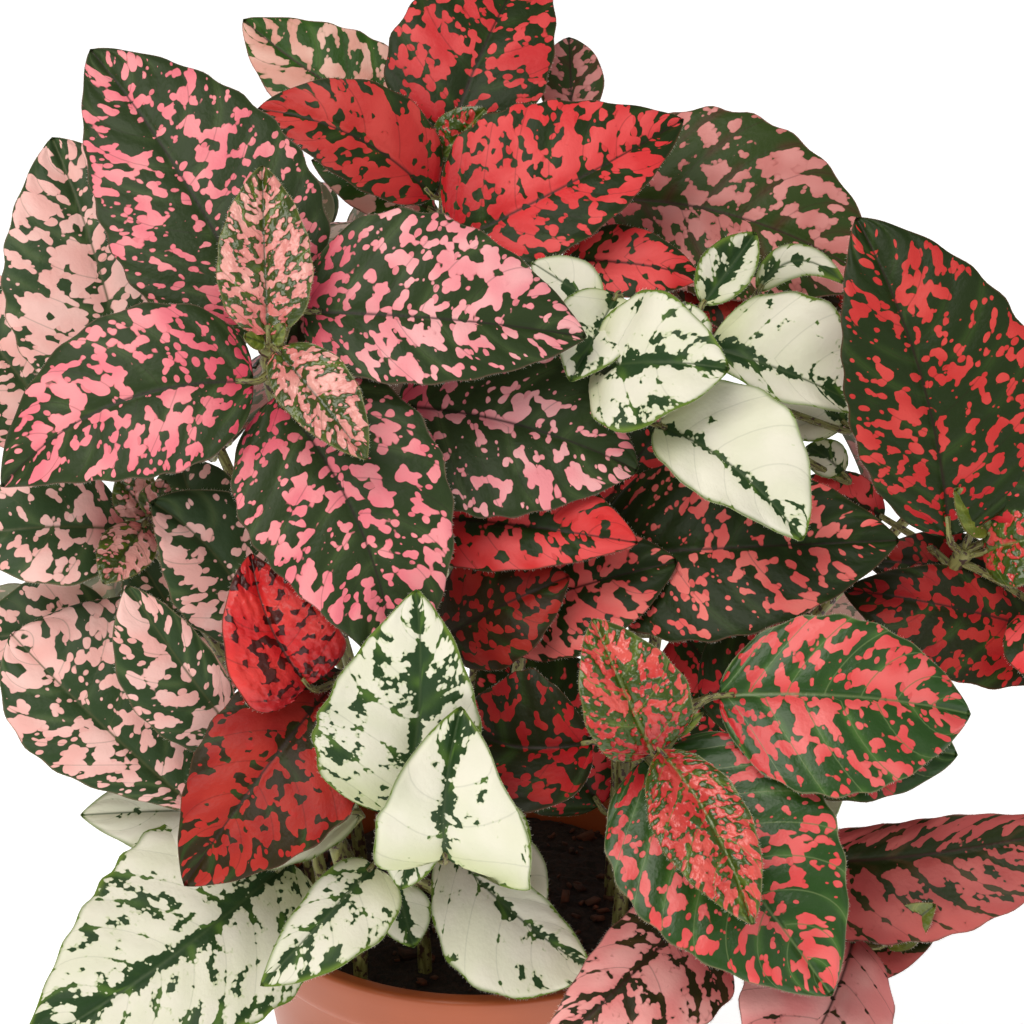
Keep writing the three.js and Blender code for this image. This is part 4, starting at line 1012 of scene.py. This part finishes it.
def leaf_material(name, look):
    s = Shader(name)
    place = s.field("place")
    rib, edge, phase = s.split(s.field("region"))
    luck, under, along = s.split(s.field("tone"))
    vein = s.math("MULTIPLY", s.math("PINGPONG", phase, 0.5), VEIN_SPACING)

    broad = s.noise(place, 1 / (BROAD_RATIO * look["blotch"]), 0.0)
    level = s.math("MULTIPLY_ADD", broad, BROAD_SHARE, look["cover"] - 0.5 * BROAD_SHARE)
    level = s.math("ADD", level, s.math("MULTIPLY_ADD", luck, SPOTS_RANGE, -0.5 * SPOTS_RANGE))
    for distance, (strength, width) in ((rib, look["rib"]), (edge, look["margin"]), (vein, look["vein"])):
        level = s.math("SUBTRACT", level, s.math("MULTIPLY", s.fade(distance, width), strength))
    lobes = s.cells(place, 1 / look["lobe"])["Distance"]
    lobes = s.math("MULTIPLY_ADD", lobes, -look["knots"], LOBE_MIDDLE * look["knots"])
    islands = s.math("ADD", s.noise(place, 1 / look["blotch"], look["detail"]), lobes)
    islands = s.math("ADD", islands, level)
    mask = s.step(islands, 0.5 - EDGE_SOFTNESS, 0.5 + EDGE_SOFTNESS)
    dots = s.cells(s.vector("MULTIPLY", place, DOT_STRETCH), 1 / look["dots"])
    radius = s.math("MULTIPLY_ADD", s.split(dots["Color"])[0], DOT_SPREAD, look["dots_size"] - DOT_SHIFT)
    radius = s.math("MULTIPLY_ADD", level, DOT_SHARE, radius)
    inside = s.math("SUBTRACT", radius, dots["Distance"])
    mask = s.math("MAXIMUM", mask, s.step(inside, 0.0, DOT_SOFTNESS))

    tint = s.noise(place, 1 / TINT_SIZE, 1.0)
    spot = s.mix(s.step(tint, *PALE_LEVELS), look["spot"], look["pale"])
    spot = s.mix(s.step(along, DEEP_REACH, 0.0), spot, look["deep"])
    fringe = s.math("MULTIPLY", s.step(islands, 0.5 + look["fringe"], 0.5), look["fringe_share"])
    spot = s.mix(fringe, spot, look["fringe_colour"])
    haze = s.math("MULTIPLY", s.fade(vein, HALO_WIDTH), s.step(tint, *HALO_LEVELS))
    ground = s.mix(haze, look["ground"], look["halo"])
    if look["edge_haze"]:
        haze = s.math("MULTIPLY", s.fade(edge, EDGE_HAZE_WIDTH), look["edge_haze"])
        ground = s.mix(haze, ground, look["rim"])
    colour = s.mix(mask, ground, spot)
    width_at_base, narrowing = MIDRIB_WIDTH
    line_width = s.math("MULTIPLY_ADD", along, narrowing, width_at_base)
    for distance, width, strength, key in (
        (rib, line_width, MIDRIB_STRENGTH, "line"),
        (vein, VEIN_LINE_WIDTH, look["veined"], "line"),
        (edge, look["rim_width"], RIM_STRENGTH, "rim"),
    ):
        share = s.math("MULTIPLY", s.fade(distance, width), strength)
        colour = s.mix(share, colour, look[key])
    colour = s.mix(s.math("MULTIPLY", under, UNDER_STRENGTH), colour, look["under"])
    height = s.noise(place, SKIN_SCALE)
    if look["relief"]:
        height = s.math("MULTIPLY_ADD", s.step(islands, *RELIEF_LEVELS), look["relief"], height)
    return s.finish(
        Base_Color=colour,
        Roughness=look["roughness"],
        Specular_IOR_Level=look["gloss"],
        Normal=s.bump(height, look["skin"], SKIN_DEPTH),
    )


def stem_material():
    s = Shader("stem")
    place = s.field("place")
    streaks = s.noise(s.vector("MULTIPLY", place, (0.25, 1.0, 1.0)), 0.9, 3.0)
    colour = s.mix(s.step(streaks, 0.35, 0.65), STEM_COLOUR, STEM_PALE)
    colour = s.mix(s.step(s.noise(place, 0.6), 0.54, 0.6), colour, STEM_DARK)
    return s.finish(
        Base_Color=colour,
        Roughness=0.5,
        Normal=s.bump(streaks, 0.4, 0.3),
        Subsurface_Weight=0.06,
        Subsurface_Scale=0.6 * MM,
    )


def hair_material():
    return Shader("hair").finish(Base_Color=HAIR_COLOUR, Roughness=0.5)


def pot_material():
    s = Shader("pot_plastic")
    place = s.position()
    clouds = s.noise(place, 0.05, 3.0)
    depth = s.split(s.field("tone"))[2]
    # Painted shade: the inner wall turns a shadowed dark brown a few millimetres below the lip, with cloudy
    # edges.
    inner_shade = s.step(s.math("MULTIPLY_ADD", clouds, 0.5, depth), 0.5, 0.95)
    colour = s.mix(inner_shade, s.mix(clouds, POT_COLOUR, POT_PALE), POT_INNER_SHADE)
    fine = s.noise(place, 1.5, 3.0)
    return s.finish(Base_Color=colour, Roughness=0.38, Normal=s.bump(fine, 0.08, 0.2))


def soil_material():
    s = Shader("potting_soil")
    crumbs = s.noise(s.position(), 0.8, 5.0, 0.65)
    colour = s.mix(s.step(crumbs, 0.35, 0.7), SOIL_DARK, SOIL_PALE)
    return s.finish(Base_Color=colour, Roughness=0.9, Normal=s.bump(crumbs, 0.8, 1.0))


def chip_material():
    s = Shader("bark")
    luck = s.split(s.field("tone"))[0]
    grain = s.noise(s.vector("MULTIPLY", s.field("place"), (0.3, 1.0, 1.0)), 1.2, 4.0, 0.6)
    colour = s.mix(s.step(grain, 0.3, 0.7), s.mix(luck, BARK_DARK, BARK_PALE), BARK_GRAIN)
    return s.finish(Base_Color=colour, Roughness=0.8, Normal=s.bump(grain, 0.6, 0.6))


materials = {name: leaf_material("leaf_" + name, look) for name, look in LOOKS.items()}
materials["stem"] = stem_material()
materials["hair"] = hair_material()
materials["pot"] = pot_material()
materials["soil"] = soil_material()
materials["chip"] = chip_material()

# Stems as they are drawn. A density is a number of hairs to the millimetre.
FOOT_ROWS = 5
STEM_STEP = 2.5
STEM_SIDES = 14
STEM_HAIRS = 3
NODE_SWELL = 0.25
NODE_WIDTH = 2.5
PETIOLE_SIDES = 10
PETIOLE_TAPER = (1.15, 0.8)
PETIOLE_HAIRS = 5
MARGIN_HAIRS = 2.2


def add_stem(stem):
    """A stem from its hole in the soil up, with its petioles and blades."""
    body = Body()
    line = stem_line(stem)
    start = line[0].copy()
    start[2] = SOIL_TOP - HOLE_DEPTH + GAP
    rise = np.linspace(0, 1, FOOT_ROWS + 1)[:-1, None]
    length = sum(np.linalg.norm(b - a) for a, b in zip(line[:-1], line[1:]))
    along = np.linspace(0, 1, round(length / STEM_STEP))
    path = np.concatenate([start + rise * (line[0] - start), bezier(line, along)])
    radii = np.concatenate([
        np.full(FOOT_ROWS, STEM_RADIUS),
        STEM_RADIUS + (STEM_END_RADIUS - STEM_RADIUS) * along,
    ])
    distance = np.concatenate([np.full(FOOT_ROWS, -1.0), along * length])
    for blade in stem["leaves"]:
        radii = radii + NODE_SWELL * bell(distance - blade["start"] * length, NODE_WIDTH)
    add_tube(body, path, radii, STEM_SIDES)
    stalk_hairs(body, path[FOOT_ROWS:], radii[FOOT_ROWS:], STEM_HAIRS)
    front = stem["name"].startswith("stem_")
    for blade in stem["leaves"]:
        finish = blade.get("look", stem["colour"])
        young = finish.startswith("young")
        top, low = add_blade(body, blade, finish, young, 1 if front else SHOOT_COARSENESS)
        if front:
            margin_hairs(body, top, low, MARGIN_HAIRS)
        petiole = petiole_line(blade, stem_point(line, blade["start"]))
        radius = min(PETIOLE_RADIUS, PETIOLE_SHARE * blade["width"] + PETIOLE_THIN)
        thick, thin = PETIOLE_TAPER
        radii = np.linspace(radius * thick, radius * thin, len(petiole))
        add_tube(body, petiole, radii, PETIOLE_SIDES, groove=blade["face"])
        stalk_hairs(body, petiole, radii, PETIOLE_HAIRS)
    piece = body.make("foliage_" + stem["name"], materials)
    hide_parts(stem["name"])
    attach(piece, "root")


def wall_radius(height):
    return FOOT_RADIUS + (RIM_RADIUS - COLLAR_STEP - FOOT_RADIUS) * height / POT_HEIGHT


def arc(centre, radius, start, end, count):
    angles = np.radians(np.linspace(start, end, count))
    return [(centre[0] + radius * math.cos(a), centre[1] + radius * math.sin(a)) for a in angles]


def turned(profile, sides):
    """Rings of points round the pot's axis, one for each (radius, height) of a profile."""
    angles = 2 * math.pi * np.arange(sides) / sides
    return [
        (radius * math.cos(angle), radius * math.sin(angle), height)
        for radius, height in profile
        for angle in angles
    ]


FOOT_BEVEL = 1.5
FOOT_ROUND = 1.2
OUTER_START = 4
OUTER_ROWS = 14
OUTER_END = 0.4
COLLAR_ROWS = 6
COLLAR_SHARES = (0.15, 0.95)
COLLAR_END = 2
COLLAR_STEP_POINTS = [(-0.1, -COLLAR_STEP), (0.5, -0.7), (COLLAR_STEP - 0.25, -0.1), (COLLAR_STEP, 0.4)]
MOUTH_ROUND = 0.7
INNER_START = 4
INNER_ROWS = 12
INNER_END = 2
CORNER_ROUND = 1.5
SHARP_ANGLE = 35


def pot_profile():
    """The pot's section as (radius, height), from its underside over the lip down to its floor."""
    collar_foot = POT_HEIGHT - COLLAR_HEIGHT
    inner_top = RIM_RADIUS - WALL - COLLAR_STEP
    inner_foot = wall_radius(FLOOR) - WALL
    outer = [(FOOT_RADIUS - FOOT_BEVEL, 0)]
    outer += arc((FOOT_RADIUS - FOOT_ROUND, FOOT_ROUND), FOOT_ROUND, -80, -5, 5)
    for height in np.linspace(OUTER_START, collar_foot - COLLAR_STEP - OUTER_END, OUTER_ROWS):
        outer.append((wall_radius(height), height))
    step = wall_radius(collar_foot)
    outer += [(step + across, collar_foot + up) for across, up in COLLAR_STEP_POINTS]
    low, high = step + COLLAR_STEP, RIM_RADIUS
    for share in np.linspace(*COLLAR_SHARES, COLLAR_ROWS):
        height = collar_foot + (COLLAR_HEIGHT - COLLAR_END) * share
        outer.append((low + (high - low) * share, height))
    outer += arc((RIM_RADIUS - LIP_RADIUS, POT_HEIGHT - LIP_RADIUS), LIP_RADIUS, 0, 90, 8)
    outer += arc((inner_top + MOUTH_ROUND, POT_HEIGHT - MOUTH_ROUND), MOUTH_ROUND, 90, 180, 6)
    inner = []
    for height in np.linspace(POT_HEIGHT - INNER_START, FLOOR + INNER_END, INNER_ROWS):
        share = (height - FLOOR) / (POT_HEIGHT - FLOOR)
        inner.append((inner_foot + (inner_top - inner_foot) * share, height))
    inner += arc((inner_foot - CORNER_ROUND, FLOOR + CORNER_ROUND), CORNER_ROUND, 0, -90, 4)
    return outer + inner


def add_pot():
    profile = pot_profile()
    points = np.array(turned(profile, POT_SIDES) + [(0, 0, 0), (0, 0, FLOOR)])
    radius, height = np.hypot(points[:, 0], points[:, 1]), points[:, 2]
    # Depth below the rim on the inner wall, which sets how much painted shade it takes.
    depth = np.where(radius < wall_radius(height) - 0.5 * WALL, POT_HEIGHT - height, 0)
    tone = np.stack([0 * depth, 0 * depth, np.clip(depth / INNER_SHADE_DEPTH, 0, 1)], axis=-1)
    body = Body()
    body.add(points, capped_faces(len(profile), POT_SIDES), "pot", tone=tone)
    piece = body.make("pot_shell", materials)
    for i in range(DRAIN_COUNT):
        angle = 2 * math.pi * i / DRAIN_COUNT
        x, y = DRAIN_CIRCLE * math.cos(angle), DRAIN_CIRCLE * math.sin(angle)
        bpy.ops.mesh.primitive_cylinder_add(
            vertices=DRAIN_SIDES, radius=DRAIN_RADIUS * MM, depth=3 * FLOOR * MM,
            location=(x * MM, y * MM, 0.5 * FLOOR * MM))
        cutter = bpy.context.object
        cut = piece.modifiers.new("drain", "BOOLEAN")
        cut.object = cutter
        bpy.context.view_layer.objects.active = piece
        bpy.ops.object.modifier_apply(modifier=cut.name)
        bpy.data.objects.remove(cutter)
    piece.data.set_sharp_from_angle(angle=math.radians(SHARP_ANGLE))
    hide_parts("pot")
    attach(piece, "root")


SOIL_DIP = 2
SOIL_DIP_WIDTH = 4
SOIL_RINGS = 44
SOIL_SIDES = 120
SOIL_GRAIN = 0.3
DOME_MEAN = 0.6
# Each as (height, width, place in the table of cells)
LUMPS = (1.1, 4.5, (20, 20))
CRUMBS = (0.5, 1.9, (9, 7))

CHIP_COUNT = 260
CHIP_MARGIN = 3
CHIP_TILT = 0.7
CHIP_LIFT = 0.4
CHIP_GRAIN_SHIFT = 50
CHIP_CORNERS = [(x, y, z) for z in (-1, 1) for x, y in ((-1, -1), (1, -1), (1, 1), (-1, 1))]
CHIP_FACES = [[0, 3, 2, 1], [4, 5, 6, 7], [0, 1, 5, 4], [1, 2, 6, 5], [2, 3, 7, 6], [3, 0, 4, 7]]


def soil_height(x, y):
    radius = np.hypot(x, y)
    inner = RIM_RADIUS - WALL - COLLAR_STEP - 2 * GAP
    heap = SOIL_TOP + SOIL_CROWN * np.clip(1 - (radius / inner) ** 2, 0, 1)
    return heap - SOIL_DIP * np.clip((radius - inner + SOIL_DIP_WIDTH) / SOIL_DIP_WIDTH, 0, 1)


def add_soil():
    inner = RIM_RADIUS - WALL - COLLAR_STEP - 3 * GAP
    rings, sides = SOIL_RINGS, SOIL_SIDES
    points = np.array(turned([(inner * ring / rings, 0) for ring in range(rings + 1)], sides))
    x, y = points[:, 0], points[:, 1]
    height = soil_height(x, y)
    for rise, size, (right, down) in (LUMPS, CRUMBS):
        height = height + rise * (cell_domes(x / size + right, y / size + down) - DOME_MEAN)
    points[:, 2] = height + SOIL_GRAIN * (random.random(len(points)) - 0.5)
    points[:sides] = points[:sides].mean(axis=0)
    quads = ring_faces(rings + 1, sides)
    faces = [[a, d, c] for a, b, c, d in quads[:sides]]
    faces += [quad[::-1] for quad in quads[sides:]]
    count = len(points)
    edge = count - sides
    low = points[edge:].copy()
    foot = wall_radius(FLOOR) - WALL - 3 * GAP
    low[:, :2] *= foot / inner
    low[:, 2] = FLOOR + GAP
    faces += [[edge + a, edge + d, edge + c, edge + b] for a, b, c, d in ring_faces(2, sides)]
    faces.append(list(range(count, count + sides))[::-1])
    body = Body()
    body.add(np.concatenate([points, low]), faces, "soil")
    for _ in range(CHIP_COUNT):
        angle = 2 * math.pi * random.random()
        radius = (inner - CHIP_MARGIN) * math.sqrt(random.random())
        add_chip(body, radius * math.cos(angle), radius * math.sin(angle))
    piece = body.make("potting_soil", materials)
    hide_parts("soil")
    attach(piece, "root")


def add_chip(body, x, y):
    """A ragged bark chip or crumb that lies on the soil at (x, y)."""
    size = 0.5 + 1.6 * random.random() ** 2
    half = size * np.array([1.0, 0.35 + 0.4 * random.random(), 0.25 + 0.3 * random.random()])
    corners = np.array(CHIP_CORNERS) * half * (0.6 + 0.8 * random.random((8, 3)))
    turn = 2 * math.pi * random.random()
    tilt = CHIP_TILT * (random.random() - 0.5)
    corners = corners @ np.array([
        [math.cos(tilt), 0, math.sin(tilt)], [0, 1, 0], [-math.sin(tilt), 0, math.cos(tilt)]])
    place = corners + CHIP_GRAIN_SHIFT * random.random()
    corners = corners @ np.array([
        [math.cos(turn), math.sin(turn), 0], [-math.sin(turn), math.cos(turn), 0], [0, 0, 1]])
    height = float(soil_height(np.array(x), np.array(y)))
    corners = corners + np.array([x, y, height + CHIP_LIFT])
    body.add(corners, CHIP_FACES, "chip", place, tone=(random.random(), 0, 0))


for plant in FRONT_STEMS + SHOOTS:
    add_stem(plant)
add_pot()
add_soil()

# Stage, light and camera, in metres
FLOOR_SIZE = 6.0
FLOOR_GAP = 0.0002
FLOOR_COLOUR = (0.97, 0.97, 0.97)
FLOOR_GLOW = 0.7
SKY_STRENGTH = 0.3
CAMERA_LENS = 132.9
SENSOR = 36.0
CLIP_START = 0.05
# Each as (place, side, power)
LIGHTS = [
    ((-0.57, -0.73, 1.43), 1.2, 19),
    ((0.9, -0.9, 0.9), 0.9, 2),
]
LIGHT_COLOUR = (1.0, 0.95, 0.88)
LIGHT_AIM = np.array([0, 0, 0.15])

bpy.ops.mesh.primitive_plane_add(size=FLOOR_SIZE, location=(0, 0, -FLOOR_GAP))
floor = bpy.context.object
floor.name = "floor"
floor.data.materials.append(Shader("paper").finish(
    Base_Color=FLOOR_COLOUR,
    Roughness=0.9,
    Emission_Color=(1, 1, 1),
    Emission_Strength=FLOOR_GLOW,
))

world = bpy.data.worlds.new("studio")
bpy.context.scene.world = world
world.use_nodes = True
sky = world.node_tree.nodes["Background"]
sky.inputs["Color"].default_value = (1, 1, 1, 1)
sky.inputs["Strength"].default_value = SKY_STRENGTH

for index, (place, size, power) in enumerate(LIGHTS):
    light = bpy.data.lights.new(f"softbox_{index}", "AREA")
    light.shape = "SQUARE"
    light.size = size
    light.energy = power
    light.color = LIGHT_COLOUR
    lamp = bpy.data.objects.new(light.name, light)
    lamp.location = place
    aim = LIGHT_AIM - np.array(place)
    lamp.rotation_euler = (
        math.atan2(math.hypot(aim[0], aim[1]), -aim[2]), 0, math.atan2(-aim[0], aim[1]))
    bpy.context.scene.collection.objects.link(lamp)

camera = bpy.data.objects.new("camera", bpy.data.cameras.new("camera"))
camera.data.lens = CAMERA_LENS
camera.data.sensor_width = SENSOR
camera.data.clip_start = CLIP_START
middle = seen((*PICTURE_MIDDLE_PX, 0))
camera.location = (middle + VIEW_DEPTH * VIEW_NEAR) * MM
camera.rotation_euler = (0.5 * math.pi - VIEW_ELEVATION, 0, 0)
bpy.context.scene.collection.objects.link(camera)
bpy.context.scene.camera = camera
bpy.context.scene.view_settings.view_transform = "Standard"
